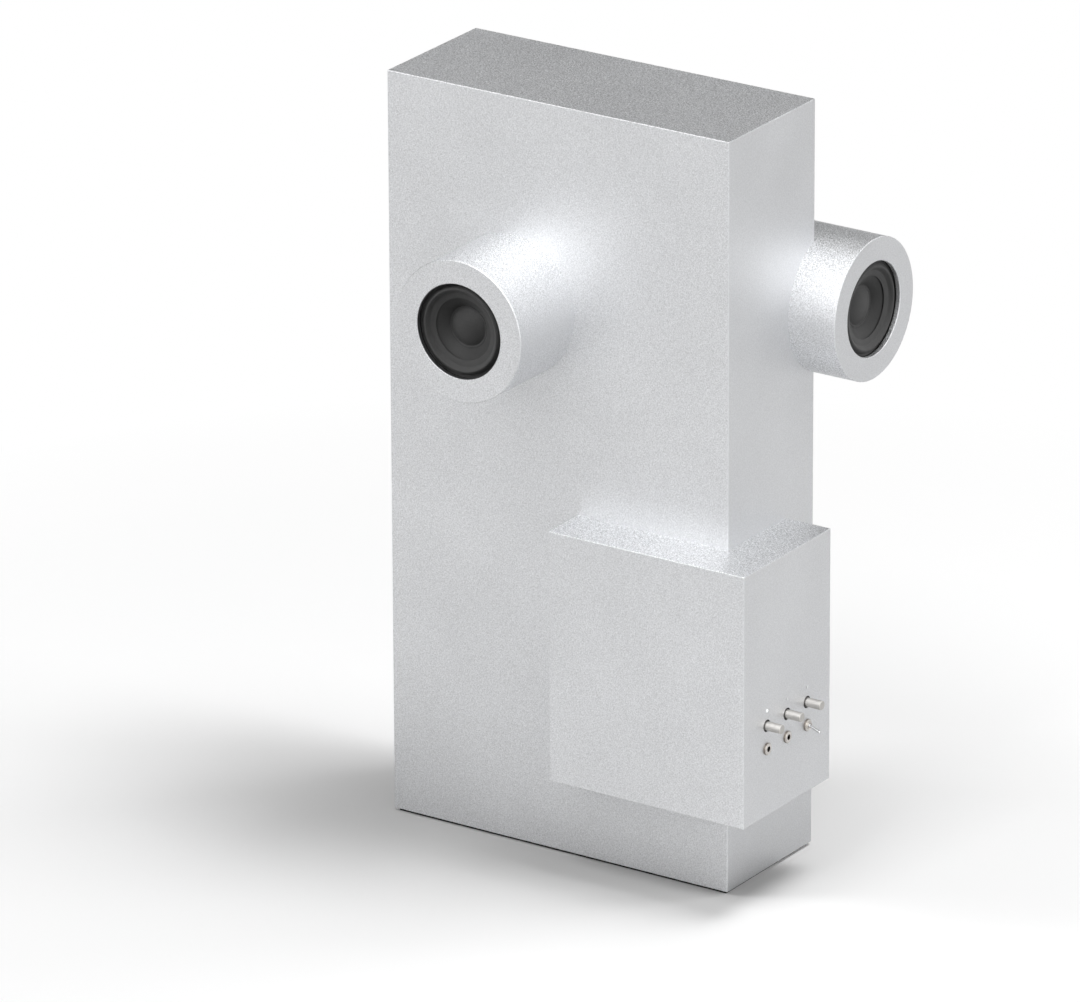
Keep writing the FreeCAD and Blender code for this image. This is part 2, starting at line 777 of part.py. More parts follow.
def motor(name):
    """Top plate, ring magnet, and back plate with its pole, all on the driver's axis."""
    gap_outer = "coil_radius + winding_thick + coil_gap"
    pole = "coil_radius - former_thick - pole_gap"
    return {
        f"{name}_top_plate": ring(f"{name}_top_plate", gap_outer, "top_plate_radius", GAP_FOOT, MOTOR),
        f"{name}_magnet": ring(f"{name}_magnet", "magnet_bore", "magnet_radius", MAGNET_FOOT, GAP_FOOT),
        f"{name}_yoke": turned(f"{name}_yoke", [
            ("0", f"{MAGNET_FOOT} - yoke_thick"),
            ("yoke_radius", f"{MAGNET_FOOT} - yoke_thick"),
            ("yoke_radius", MAGNET_FOOT),
            (pole, MAGNET_FOOT),
            (pole, MOTOR),
            ("0", MOTOR),
        ]),
    }


def terminals(name):
    """Tag board under the spider shelf, with two solder tags."""
    head = SHELF_BACK
    outer = "tag_board_inner + tag_board_length"
    strip = box(
        f"{name}_board",
        ("tag_board_inner", "-tag_board_width / 2", f"{head} - tag_board_thick"),
        (outer, "tag_board_width / 2", head),
    )
    tags = [
        box(
            f"{name}_tag_{i + 1}",
            (outer, f"{side} * tag_pitch / 2 - tag_width / 2", f"{head} - tag_board_thick / 2"),
            (f"{outer} + tag_length", f"{side} * tag_pitch / 2 + tag_width / 2",
             f"{head} - tag_board_thick / 2 + tag_thick"),
        )
        for i, side in enumerate((-1, 1))
    ]
    return joined(name, [strip] + tags)


def driver_screws(name):
    screws = []
    for i in range(DRIVER_SCREWS):
        place = around("driver_screw_circle", i)
        shank = rod(f"{name}_shank_{i + 1}", "driver_screw_radius", "flange_thick + driver_screw_bite",
                    *place, FLANGE_BACK)
        head = rod(f"{name}_head_{i + 1}", "driver_screw_head", "driver_screw_head_height",
                   *place, f"{FLANGE_BACK} - driver_screw_head_height")
        screws.append(joined(f"{name}_{i + 1}", [shank, head]))
    return group(name, screws)


def driver(name):
    parts = {
        f"{name}_basket": basket(f"{name}_basket"),
        f"{name}_seal_ring": ring(f"{name}_seal_ring", "seal_ring_bore", "seal_ring_radius",
                                  FOOT_TOP, "-lip_thick"),
        f"{name}_surround": surround(f"{name}_surround"),
        f"{name}_cone": cone(f"{name}_cone"),
        f"{name}_dust_cap": dust_cap(f"{name}_dust_cap"),
        f"{name}_voice_coil": voice_coil(f"{name}_voice_coil"),
        f"{name}_spider": spider(f"{name}_spider"),
        f"{name}_terminals": terminals(f"{name}_terminals"),
        f"{name}_driver_screws": driver_screws(f"{name}_driver_screws"),
    }
    parts.update(motor(name))
    for label, thing in parts.items():
        keep(label, put(thing, *pod_place(name)))


def column(name):
    return f"({CONTROL_MIDDLE} + {COLUMNS[name]} * control_pitch)"


def control_housing():
    """Shell that wraps the slab's front right corner and is open towards it."""
    outer = rounded_block(
        "housing_outer", (HOUSING_LEFT, HOUSING_FRONT, "housing_level"),
        (HOUSING_RIGHT, HOUSING_REAR, HOUSING_TOP), "edge_round",
    )
    room = box(
        "housing_room",
        (f"{HOUSING_LEFT} + housing_wall", f"{HOUSING_FRONT} + housing_wall",
         "housing_level + housing_wall"),
        (CONTROL_WALL, f"{HOUSING_REAR} - housing_wall", f"{HOUSING_TOP} - housing_wall"),
    )
    slab = box(
        "housing_slab_corner",
        (f"{HOUSING_LEFT} - housing_wall", FRONT, "housing_level - housing_wall"),
        (RIGHT, f"{HOUSING_REAR} + housing_wall", f"{HOUSING_TOP} + housing_wall"),
    )
    start, length = f"{CONTROL_WALL} - housing_wall", "3 * housing_wall"
    holes = []
    for name in COLUMNS:
        holes.append(rod(f"lamp_hole_{name}", "lamp_radius + lamp_fit", length,
                         start, column(name), "lamp_level", "side"))
        holes.append(rod(f"knob_hole_{name}", "knob_radius + knob_gap", length,
                         start, column(name), "knob_level", "side"))
        bushing = "toggle_bushing" if name == "right" else "bushing_radius"
        holes.append(rod(f"socket_hole_{name}", f"{bushing} + bushing_fit", length,
                         start, column(name), "socket_level", "side"))
    keep("control_housing", without("control_housing", outer, [room, slab] + holes))


def control_board():
    low = (
        f"{BOARD_FACE} - board_thick",
        f"{column('left')} - board_margin",
        "socket_level - board_below",
    )
    high = (BOARD_FACE, f"{column('right')} + board_margin", "lamp_level + board_above")
    keep("control_board", box("control_board", low, high))
    studs = [
        rod(f"control_stud_{i + 1}", "stud_radius", "board_depth", BOARD_FACE, along, up, "side")
        for i, (along, up) in enumerate(
            (f"{y}", f"{z}")
            for y in (f"{low[1]} + stud_inset", f"{high[1]} - stud_inset")
            for z in (f"{low[2]} + stud_inset", f"{high[2]} - stud_inset")
        )
    ]
    keep("control_board_studs", group("control_board_studs", studs))


def lamps():
    """Clear rods that carry the light of the board's lamps through the wall."""
    for name in COLUMNS:
        keep(f"lamp_{name}", rod(f"lamp_{name}", "lamp_radius", "board_depth + housing_wall + lamp_proud",
                                 BOARD_FACE, column(name), "lamp_level", "side"))


def knobs():
    knob_foot = "pot_depth + knob_seat"
    knob_length = f"board_depth + housing_wall + knob_reach - ({knob_foot})"
    for name in COLUMNS:
        place = (column(name), "knob_level", "side")
        body = box(
            f"pot_{name}_body",
            (BOARD_FACE, f"{column(name)} - pot_width / 2", "knob_level - pot_height / 2"),
            (POT_FACE, f"{column(name)} + pot_width / 2", "knob_level + pot_height / 2"),
        )
        bore = rod(f"pot_{name}_bore", "shaft_radius + shaft_fit", "pot_depth",
                   f"{POT_FACE} - shaft_in_pot - shaft_end_gap", *place)
        keep(f"pot_{name}", without(f"pot_{name}", body, [bore]))
        keep(f"pot_shaft_{name}", rod(
            f"pot_shaft_{name}", "shaft_radius", "shaft_in_pot + knob_seat + shaft_in_knob",
            f"{POT_FACE} - shaft_in_pot", *place))
        knob = turned(f"knob_{name}", [
            ("shaft_radius", "0"),
            ("knob_radius", "0"),
            ("knob_radius", f"{knob_length} - knob_chamfer"),
            ("knob_radius - knob_chamfer", knob_length),
            ("0", knob_length),
            ("0", "shaft_in_knob"),
            ("shaft_radius", "shaft_in_knob"),
        ])
        keep(f"knob_{name}", put(knob, f"{POT_FACE} + knob_seat", *place))


def sockets():
    """Two 3.5 mm sockets, each with a threaded bushing through the wall and a round nut."""
    nuts = []
    for name in ("left", "middle"):
        place = (column(name), "socket_level", "side")
        block = box(
            f"socket_{name}_block",
            (BOARD_FACE, f"{column(name)} - socket_body / 2", "socket_level - socket_body / 2"),
            (CONTROL_WALL, f"{column(name)} + socket_body / 2", "socket_level + socket_body / 2"),
        )
        bushing = rod(f"socket_{name}_bushing", "bushing_radius", "housing_wall + bushing_proud",
                      CONTROL_WALL, *place)
        bore = rod(f"socket_{name}_bore", "socket_radius", "2 * socket_depth",
                   f"{CONTROL_WALL} + housing_wall + bushing_proud - socket_depth", *place)
        whole = joined(f"socket_{name}_whole", [block, bushing])
        keep(f"audio_socket_{name}", without(f"audio_socket_{name}", whole, [bore]))
        nuts.append(put(turned(f"socket_nut_{name}", [
            ("bushing_radius", "0"),
            ("nut_radius", "0"),
            ("nut_radius", "nut_thick - nut_chamfer"),
            ("nut_radius - nut_chamfer", "nut_thick"),
            ("bushing_radius", "nut_thick"),
        ]), HOUSING_RIGHT, *place))
    keep("socket_nuts", group("socket_nuts", nuts))


def toggle():
    """Small lever switch: block, threaded bushing, nut and a lever on a ball."""
    place = (column("right"), "socket_level", "side")
    block = box(
        "toggle_block",
        (BOARD_FACE, f"{column('right')} - toggle_width / 2", "socket_level - toggle_height / 2"),
        (CONTROL_WALL, f"{column('right')} + toggle_width / 2", "socket_level + toggle_height / 2"),
    )
    bushing = rod("toggle_tube", "toggle_bushing", "housing_wall + toggle_proud", CONTROL_WALL, *place)
    bore = rod("toggle_bore", "lever_ball + ball_gap", "3 * housing_wall",
               f"{PIVOT} - lever_ball - ball_gap", *place)
    mouth = taper("toggle_mouth", "lever_ball + ball_gap", "lever_ball + ball_gap + toggle_flare",
                  "toggle_pivot_depth", PIVOT, *place)
    whole = joined("toggle_whole", [block, bushing])
    keep("toggle_body", without("toggle_body", whole, [bore, mouth]))
    keep("toggle_nut", put(turned("toggle_nut", [
        ("toggle_bushing", "0"),
        ("nut_radius", "0"),
        ("nut_radius", "nut_thick - nut_chamfer"),
        ("nut_radius - nut_chamfer", "nut_thick"),
        ("toggle_bushing", "nut_thick"),
    ]), HOUSING_RIGHT, *place))
    arm_length = "lever_length - lever_tip"
    ball = bind(doc.addObject("Part::Sphere", "toggle_lever_ball"), Radius="lever_ball")
    arm = taper("toggle_lever_arm", "lever_root", "lever_tip", arm_length)
    tip = bind(doc.addObject("Part::Sphere", "toggle_lever_tip"), Radius="lever_tip")
    put(tip, up=arm_length)
    lever = joined("toggle_lever", [ball, arm, tip])
    put(lever, PIVOT, *place[:2], "lever")
    lever.setExpression("Placement.Rotation.Angle", cell("90 + lever_tilt"))
    keep("toggle_lever", lever)


def amplifier():
    """Board on four studs inside the back panel, with its heatsink and large parts."""
    left, right = "amp_across - amp_width / 2", "amp_across + amp_width / 2"
    low, high = "amp_level", "amp_level + amp_height"
    keep("amplifier_board", box(
        "amplifier_board", (left, AMP_FACE, low), (right, f"{AMP_FACE} + board_thick", high)
    ))
    studs = [
        rod(f"amplifier_stud_{i + 1}", "stud_radius", "amp_stand", across, PANEL_INSIDE, up, "front")
        for i, (across, up) in enumerate(
            (x, z)
            for x in (f"{left} + stud_inset", f"{right} - stud_inset")
            for z in (f"{low} + stud_inset", f"{high} - stud_inset")
        )
    ]
    keep("amplifier_studs", group("amplifier_studs", studs))

    sink_left = "amp_across - heatsink_width / 2"
    sink_low = f"{high} - stud_inset - heatsink_height"
    base = box(
        "heatsink_plate", (sink_left, f"{AMP_FACE} - heatsink_base", sink_low),
        (f"{sink_left} + heatsink_width", AMP_FACE, f"{sink_low} + heatsink_height"),
    )
    fins = []
    for i in range(int(SIZES["heatsink_fins"])):
        fin_left = f"{sink_left} + (heatsink_width - heatsink_fin_thick) * {i} / (heatsink_fins - 1)"
        fins.append(box(
            f"heatsink_fin_{i + 1}",
            (fin_left, f"{AMP_FACE} - heatsink_base - heatsink_fin", sink_low),
            (f"{fin_left} + heatsink_fin_thick", f"{AMP_FACE} - heatsink_base",
             f"{sink_low} + heatsink_height"),
        ))
    keep("heatsink", joined("heatsink", [base] + fins))

    capacitors = [
        rod(f"capacitor_{i + 1}", "capacitor_radius", "capacitor_length",
            f"amp_across + {i - 1.5} * capacitor_pitch", AMP_FACE,
            f"{low} + 2 * stud_inset + capacitor_radius", "front")
        for i in range(4)
    ]
    keep("capacitors", group("capacitors", capacitors))
    inductors = [
        rod(f"inductor_{i + 1}", "coil_can_radius", "coil_can_length",
            f"amp_across + {side} * capacitor_pitch", AMP_FACE,
            f"{low} + 2 * stud_inset + 2 * capacitor_radius + 2 * stud_inset + coil_can_radius", "front")
        for i, side in enumerate((-1, 1))
    ]
    keep("inductors", group("inductors", inductors))


def write_steps():
    doc.recompute()
    faults = [thing.Name for thing in doc.Objects if {"Invalid", "Error"} & set(thing.State)]
    faults += [name for name, thing in pieces.items() if thing.Shape.isNull() or not thing.Shape.isValid()]
    if faults:
        raise RuntimeError("not built: " + ", ".join(faults))
    os.makedirs("parts", exist_ok=True)
    for name, thing in pieces.items():
        thing.Shape.exportStep(f"parts/{name}.step")


fill_sheet()
cabinet_shell()
base_pad()
back_panel()
power_inlet()
pods()
driver("front")
driver("side")
control_housing()
control_board()
lamps()
knobs()
sockets()
toggle()
amplifier()
write_steps()
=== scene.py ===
"""The looks of a slab loudspeaker with two drum pods and a control box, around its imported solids.

Lengths are in metres and in the part's own frame: x to the right, y to the back, z up.
"""

import math

import bpy
import numpy as np
from mathutils import Matrix, Vector


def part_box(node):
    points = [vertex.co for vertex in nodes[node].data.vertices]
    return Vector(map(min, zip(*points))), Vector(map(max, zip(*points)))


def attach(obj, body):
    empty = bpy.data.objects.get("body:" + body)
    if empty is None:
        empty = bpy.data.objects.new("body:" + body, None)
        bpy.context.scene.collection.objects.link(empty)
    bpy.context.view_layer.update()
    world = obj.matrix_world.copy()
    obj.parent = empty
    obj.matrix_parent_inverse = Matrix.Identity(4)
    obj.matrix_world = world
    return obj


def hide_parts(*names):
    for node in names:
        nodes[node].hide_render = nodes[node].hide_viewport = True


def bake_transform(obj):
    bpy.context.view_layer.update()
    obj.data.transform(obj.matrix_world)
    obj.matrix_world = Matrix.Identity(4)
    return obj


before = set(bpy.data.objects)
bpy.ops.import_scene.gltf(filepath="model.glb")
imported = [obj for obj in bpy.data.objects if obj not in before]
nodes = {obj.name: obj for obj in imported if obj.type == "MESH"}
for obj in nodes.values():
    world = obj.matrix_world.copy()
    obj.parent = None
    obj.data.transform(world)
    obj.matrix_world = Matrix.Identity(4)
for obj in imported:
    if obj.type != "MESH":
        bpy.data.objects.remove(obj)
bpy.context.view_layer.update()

MM = 0.001
FRONT_AXIS = "y"
SIDE_AXIS = "x"
WHITE = (1.0, 1.0, 1.0)


def middle_of(name):
    """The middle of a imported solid's box."""
    low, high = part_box(name)
    return (low + high) / 2


def show(name, data):
    """A new object in the scene."""
    shown = bpy.data.objects.new(name, data)
    bpy.context.scene.collection.objects.link(shown)
    return shown


# Camera: the photograph's own view, fitted to the corners of the slab and the control box.

CAMERA_PLACE = Vector((3.406, -5.168, 2.616))
CAMERA_RIGHT = Vector((0.83242, 0.55412, -0.00429))
CAMERA_BACK = Vector((0.51816, -0.77560, 0.36050))
CAMERA_LENS = 349.9
CAMERA_SENSOR = 36.0
NEAREST_SEEN = 0.05
FARTHEST_SEEN = 60.0


def make_camera():
    """The camera at the photograph's angle."""
    data = bpy.data.cameras.new("camera")
    data.lens = CAMERA_LENS
    data.sensor_width = CAMERA_SENSOR
    data.sensor_fit = "HORIZONTAL"
    data.clip_start = NEAREST_SEEN
    data.clip_end = FARTHEST_SEEN
    camera = show("camera", data)
    back = CAMERA_BACK.normalized()
    right = (CAMERA_RIGHT - back * CAMERA_RIGHT.dot(back)).normalized()
    up = back.cross(right)
    turn = Matrix((right, up, back)).transposed()
    camera.matrix_world = Matrix.Translation(CAMERA_PLACE) @ turn.to_4x4()
    bpy.context.scene.camera = camera


# Node graphs: the finishes, the world and the lamps are built by the same short calls.

# A mix node's colour sockets share their names with its number sockets, so they go by their place.
MIX_FIRST = 6
MIX_SECOND = 7
MIX_RESULT = 2
# A path's count of matt bounces is under this until its first one.
FIRST_BOUNCE = 0.5
TEXTURE_TURN = (0.61, 0.37, 0.83)
WAVE_SCALE = math.pi / 10
NOISE_MIDDLE = 0.5
RING_DETAIL = 3.0
METAL = {"Metallic": 1.0}


class Graph:
    """A node graph that grows by short calls. Most calls return an output socket."""

    def __init__(self, tree):
        self.tree = tree

    def add(self, kind, inputs=None, **settings):
        """A new node with its settings, and with a value or an output for some of its sockets."""
        node = self.tree.nodes.new(kind)
        for setting, value in settings.items():
            setattr(node, setting, value)
        for socket, value in (inputs or {}).items():
            self.put(value, node.inputs[socket])
        return node

    def put(self, value, socket):
        """Joins an output to a socket, or sets the socket to a number, a place or a colour."""
        if isinstance(value, bpy.types.NodeSocket):
            self.tree.links.new(value, socket)
        elif socket.type == "RGBA":
            socket.default_value = (*value, 1.0)
        else:
            socket.default_value = value

    def maths(self, operation, first, second=0.0):
        """The result of a calculation with one or two numbers."""
        return self.add("ShaderNodeMath", {0: first, 1: second}, operation=operation).outputs["Value"]

    def vector_maths(self, operation, first, second=(0.0, 0.0, 0.0)):
        """The outputs of a calculation with one or two places."""
        return self.add("ShaderNodeVectorMath", {0: first, 1: second}, operation=operation).outputs

    def spread(self, source, low, high, start=0.3, end=0.7, kind="LINEAR"):
        """A number from low to high as source goes from start to end."""
        inputs = {"Value": source, "From Min": start, "From Max": end, "To Min": low, "To Max": high}
        return self.add("ShaderNodeMapRange", inputs, interpolation_type=kind).outputs["Result"]

    def mix(self, first, second, factor, kind="MIX"):
        """The first colour where factor is 0, and its mix with the second where factor is 1."""
        inputs = {"Factor": factor, MIX_FIRST: first, MIX_SECOND: second}
        return self.add("ShaderNodeMix", inputs, data_type="RGBA", blend_type=kind).outputs[MIX_RESULT]

    def either(self, factor, first, second):
        """The first shader where factor is 0 and the second where it is 1."""
        return self.add("ShaderNodeMixShader", {"Fac": factor, 1: first, 2: second}).outputs["Shader"]

    def seen_straight(self, ray):
        """1 for a ray from the camera or through glass, and else 0."""
        return self.maths("MAXIMUM", ray["Is Camera Ray"], ray["Is Transmission Ray"])

    def before_bounce(self, ray):
        """1 for a ray whose path has met no matt surface yet, and else 0."""
        return self.maths("LESS_THAN", ray["Diffuse Depth"], FIRST_BOUNCE)


class Finish(Graph):
    """A procedural material whose textures read the surface's own place."""

    def __init__(self, name, shader_values=None):
        self.material = bpy.data.materials.new(name)
        self.material.use_nodes = True
        super().__init__(self.material.node_tree)
        self.tree.nodes.clear()
        self.surface = self.add("ShaderNodeOutputMaterial").inputs["Surface"]
        self.shader = self.add("ShaderNodeBsdfPrincipled", shader_values)
        self.put(self.shader.outputs["BSDF"], self.surface)
        coordinates = self.add("ShaderNodeTexCoord").outputs
        self.place = coordinates["Object"]
        self.object_normal = coordinates["Normal"]
        turn = {"Vector": self.place, "Rotation": TEXTURE_TURN}
        self.turned_place = self.add("ShaderNodeMapping", turn).outputs["Vector"]
        self.normal = None

    def texture_place(self, stretch):
        """The place turned out of line with the faces, or stretched along the part's own axes."""
        if stretch is None:
            return self.turned_place
        return self.add("ShaderNodeMapping", {"Vector": self.place, "Scale": stretch}).outputs["Vector"]

    def noise(self, size, detail=2.0, stretch=None):
        """Cloudy noise whose features are size across."""
        inputs = {"Vector": self.texture_place(stretch), "Scale": 1.0 / size, "Detail": detail}
        return self.add("ShaderNodeTexNoise", inputs).outputs["Fac"]

    def cells(self, size, stretch=None):
        """Small rounded cells, size across."""
        inputs = {"Vector": self.texture_place(stretch), "Scale": 1.0 / size}
        return self.add("ShaderNodeTexVoronoi", inputs).outputs["Distance"]

    def waves(self, size, direction):
        """Sine bands, size apart."""
        inputs = {"Vector": self.place, "Scale": WAVE_SCALE / size}
        return self.add("ShaderNodeTexWave", inputs, bands_direction=direction).outputs["Fac"]

    def rings(self, size, distance, share=0.7):
        """Uneven turned rings, size apart, along a distance. Share is how much finer detail counts."""
        inputs = {"W": distance, "Scale": 1.0 / size, "Detail": RING_DETAIL, "Roughness": share}
        return self.add("ShaderNodeTexNoise", inputs, noise_dimensions="1D").outputs["Fac"]

    def radius_from(self, centre, axis):
        """Distance from a turning axis through centre."""
        across = tuple(0.0 if axis == name else 1.0 for name in "xyz")
        shifted = self.vector_maths("SUBTRACT", self.place, centre)
        flat = self.vector_maths("MULTIPLY", shifted["Vector"], across)
        return self.vector_maths("LENGTH", flat["Vector"])["Value"]

    def along(self, axis):
        """One coordinate of the place, as a number."""
        return self.add("ShaderNodeSeparateXYZ", {"Vector": self.place}).outputs[axis.upper()]

    def mixed(self, source, first, second, start=0.3, end=0.7):
        """A colour from first to second as source goes from start to end."""
        return self.mix(first, second, self.spread(source, 0.0, 1.0, start, end))

    def shaded(self, colour, source, low, high, start=0.3, end=0.7):
        """A colour times a number from low to high as source goes from start to end."""
        return self.mix(colour, self.spread(source, low, high, start, end), 1.0, kind="MULTIPLY")

    def colour(self, source):
        """Sets the shader's colour."""
        self.put(source, self.shader.inputs["Base Color"])

    def gloss(self, source, low, high, start=0.3, end=0.7):
        """Sets the shader's roughness, from low to high as source goes from start to end."""
        self.put(self.spread(source, low, high, start, end), self.shader.inputs["Roughness"])

    def bump(self, source, depth, strength=1.0):
        """Adds relief, depth high, over what is there already."""
        inputs = {"Height": source, "Distance": depth, "Strength": strength}
        if self.normal:
            inputs["Normal"] = self.normal
        self.normal = self.add("ShaderNodeBump", inputs).outputs["Normal"]
        self.put(self.normal, self.shader.inputs["Normal"])


# Aluminium: bead-blasted and clear-anodised. The fleck is its grain's lighter and darker spots.

ALUMINIUM_TONE = (0.715, 0.722, 0.735)
GRAIN = 0.8 * MM
GRAIN_DEPTH = 0.11 * MM
CLOUD = 70 * MM
PAINTED_FLECK_MORE_ON_TOP = 1.6
PAINTED_FLECK_LESS_ON_SIDES = 0.5
FLECK_REACH = 0.7
FLECK_DARKEST = 0.51
FLECK_LIGHTEST = 1.49
# The painted shade on a mouth's wall fades out between these distances beyond its radius.
MOUTH_PAINTED_SHADE_STARTS = 0.1 * MM
MOUTH_PAINTED_SHADE_ENDS = 0.4 * MM


def blasted_aluminium(name, mouth=None):
    """A fine matte grain with faint clouds, whose fleck is painted stronger on top and weaker on the sides,
    as painted light and shade.

    A mouth (centre, axis, radius, shade) is a bore whose wall gets painted shade, darker than the rest.
    """
    finish = Finish(name, METAL)
    grain = finish.noise(GRAIN, detail=1.0)
    cloud = finish.noise(CLOUD)
    # Painted light and shade: the fleck is stronger on faces that look up or down and weaker on faces that
    # look left or right.
    facing = finish.add("ShaderNodeSeparateXYZ", {"Vector": finish.object_normal}).outputs
    more = finish.maths("MULTIPLY", finish.maths("ABSOLUTE", facing["Z"]), PAINTED_FLECK_MORE_ON_TOP)
    less = finish.maths("MULTIPLY", finish.maths("ABSOLUTE", facing["X"]), PAINTED_FLECK_LESS_ON_SIDES)
    amount = finish.maths("ADD", 1.0, finish.maths("SUBTRACT", more, less))
    fleck = finish.maths("MULTIPLY", finish.maths("SUBTRACT", grain, NOISE_MIDDLE), amount)
    colour = finish.shaded(ALUMINIUM_TONE, fleck, FLECK_DARKEST, FLECK_LIGHTEST, -FLECK_REACH, FLECK_REACH)
    colour = finish.shaded(colour, cloud, low=0.975, high=1.025)
    # Painted shade on the wall of the mouth's bore.
    if mouth:
        centre, axis, radius, shade = mouth
        distance = finish.radius_from(centre, axis)
        start = radius + MOUTH_PAINTED_SHADE_STARTS
        end = radius + MOUTH_PAINTED_SHADE_ENDS
        colour = finish.shaded(colour, distance, low=shade, high=1.0, start=start, end=end)
    finish.colour(colour)
    finish.gloss(grain, low=0.46, high=0.54)
    finish.bump(grain, GRAIN_DEPTH)
    return finish.material


# Other metals.

TURNED_RING = 0.12 * MM
TURNED_DEPTH = 0.006 * MM
NUT_RING = 0.15 * MM
NUT_EDGE = 3.72 * MM
NUT_EDGE_BLUR = 0.05 * MM
# The rim's dark tone is painted shade.
NUT_FACE_TONE = (0.66, 0.64, 0.61)
NUT_RIM_PAINTED_SHADE_TONE = (0.27, 0.245, 0.22)
ROLLED_STRETCH = (1.0, 1.0, 0.12)
WIRE = 0.25 * MM


def turned_metal(name, tone, roughness):
    """Smooth metal of small nuts, sockets, shafts and studs, with a faint grain."""
    finish = Finish(name, METAL)
    cloud = finish.noise(2.5 * MM)
    grain = finish.noise(0.3 * MM)
    skin = finish.noise(0.25 * MM)
    colour = finish.shaded(tone, grain, low=0.94, high=1.05)
    finish.colour(finish.shaded(colour, cloud, low=0.95, high=1.04))
    finish.gloss(cloud, low=roughness - 0.04, high=roughness + 0.05)
    finish.bump(skin, depth=0.004 * MM)
    return finish.material


def turned_knob(name, tone, roughness, centre, axis):
    """Turned metal with fine rings round its axis on the end, and along it on the side."""
    finish = Finish(name, METAL)
    cloud = finish.noise(2.5 * MM)
    end_rings = finish.rings(TURNED_RING, finish.radius_from(centre, axis))
    side_rings = finish.rings(TURNED_RING, finish.along(axis))
    colour = finish.shaded(tone, side_rings, low=0.93, high=1.05)
    finish.colour(finish.shaded(colour, cloud, low=0.95, high=1.04))
    finish.gloss(cloud, low=roughness - 0.04, high=roughness + 0.05)
    finish.bump(end_rings, TURNED_DEPTH)
    finish.bump(side_rings, TURNED_DEPTH)
    return finish.material


def polished_rod(name, tone):
    """A polished, plated rod with a faint haze."""
    finish = Finish(name, METAL)
    haze = finish.noise(0.8 * MM, detail=1.0)
    skin = finish.noise(0.3 * MM)
    finish.colour(finish.shaded(tone, haze, low=0.97, high=1.03))
    finish.gloss(haze, low=0.06, high=0.12)
    finish.bump(skin, depth=0.003 * MM)
    return finish.material


def nut_with_painted_rim_shade(name, centres):
    """Plated nuts round one or more centres: a bright turned face and a rim darkened with painted shade."""
    finish = Finish(name, METAL)
    radius = finish.radius_from(centres[0], SIDE_AXIS)
    for centre in centres[1:]:
        radius = finish.maths("MINIMUM", radius, finish.radius_from(centre, SIDE_AXIS))
    rings = finish.rings(NUT_RING, radius)
    rim_speckle = finish.noise(0.3 * MM)
    cloud = finish.noise(0.6 * MM)
    face = finish.shaded(NUT_FACE_TONE, rings, low=0.92, high=1.06)
    # Painted shade on the rim.
    rim = finish.shaded(NUT_RIM_PAINTED_SHADE_TONE, rim_speckle, low=0.85, high=1.15)
    finish.colour(finish.mixed(radius, face, rim, NUT_EDGE - NUT_EDGE_BLUR, NUT_EDGE + NUT_EDGE_BLUR))
    finish.gloss(cloud, low=0.26, high=0.36)
    finish.bump(rings, TURNED_DEPTH)
    return finish.material


def rolled_steel(name, tone, roughness):
    """Plated sheet or turned steel with faint streaks and clouded plating."""
    finish = Finish(name, METAL)
    cloud = finish.noise(6 * MM, detail=3.0)
    streak = finish.noise(1.2 * MM, stretch=ROLLED_STRETCH)
    colour = finish.shaded(tone, cloud, low=0.85, high=1.06)
    finish.colour(finish.shaded(colour, streak, low=0.95, high=1.05))
    finish.gloss(cloud, low=roughness - 0.05, high=roughness + 0.10)
    finish.bump(streak, depth=0.010 * MM)
    return finish.material


def wound_copper(name, tone, axis):
    """Enamelled wire, wound in close turns."""
    finish = Finish(name, METAL)
    turns = finish.waves(WIRE, axis.upper())
    cloud = finish.noise(3 * MM)
    colour = finish.shaded(tone, turns, low=0.55, high=1.05, start=0.0, end=1.0)
    finish.colour(finish.shaded(colour, cloud, low=0.92, high=1.08))
    finish.gloss(turns, low=0.42, high=0.26, start=0.0, end=1.0)
    finish.bump(turns, depth=0.05 * MM)
    return finish.material


# Plastics, rubber, foam, paper, cloth, boards, ferrite and lenses.

CONE_RING = 1.1 * MM
THREAD = 0.45 * MM
GLASS_WEAVE = 0.8 * MM
BOARD_RUN = 4.0 * MM
RUN_STRETCH = (1.0, 1.0, 0.4)
RUN_STARTS = 0.42
RUN_ENDS = 0.46
LENS_INDEX = 1.49
LENS_MILK = 0.3
LENS_SCATTER = 0.4 * MM
LENS_LIGHT = (0.95, 0.98, 1.0)


def powder_coat(name, tone, roughness):
    """Powder coat or moulded plastic with an orange-peel skin."""
    finish = Finish(name)
    peel = finish.cells(0.5 * MM)
    cloud = finish.noise(12 * MM)
    finish.colour(finish.shaded(tone, cloud, low=0.85, high=1.18))
    finish.gloss(cloud, low=roughness - 0.06, high=roughness + 0.07)
    finish.bump(peel, depth=0.03 * MM, strength=0.6)
    return finish.material


def moulded_rubber(name, tone, roughness):
    """Moulded rubber with a fine satin skin and a little bloom."""
    finish = Finish(name)
    skin = finish.noise(0.35 * MM)
    bloom = finish.noise(9 * MM, detail=3.0)
    finish.colour(finish.shaded(tone, bloom, low=0.86, high=1.16))
    finish.gloss(bloom, low=roughness - 0.05, high=roughness + 0.06)
    finish.bump(skin, depth=0.012 * MM)
    return finish.material


def pitted_foam(name, tone):
    """Closed-cell foam of a cut gasket, with small pits."""
    finish = Finish(name)
    pits = finish.cells(0.6 * MM)
    finish.colour(finish.shaded(tone, pits, low=0.7, high=1.15, start=0.0, end=0.6))
    finish.gloss(pits, low=0.85, high=0.98, start=0.0, end=0.6)
    finish.bump(pits, depth=0.12 * MM)
    return finish.material


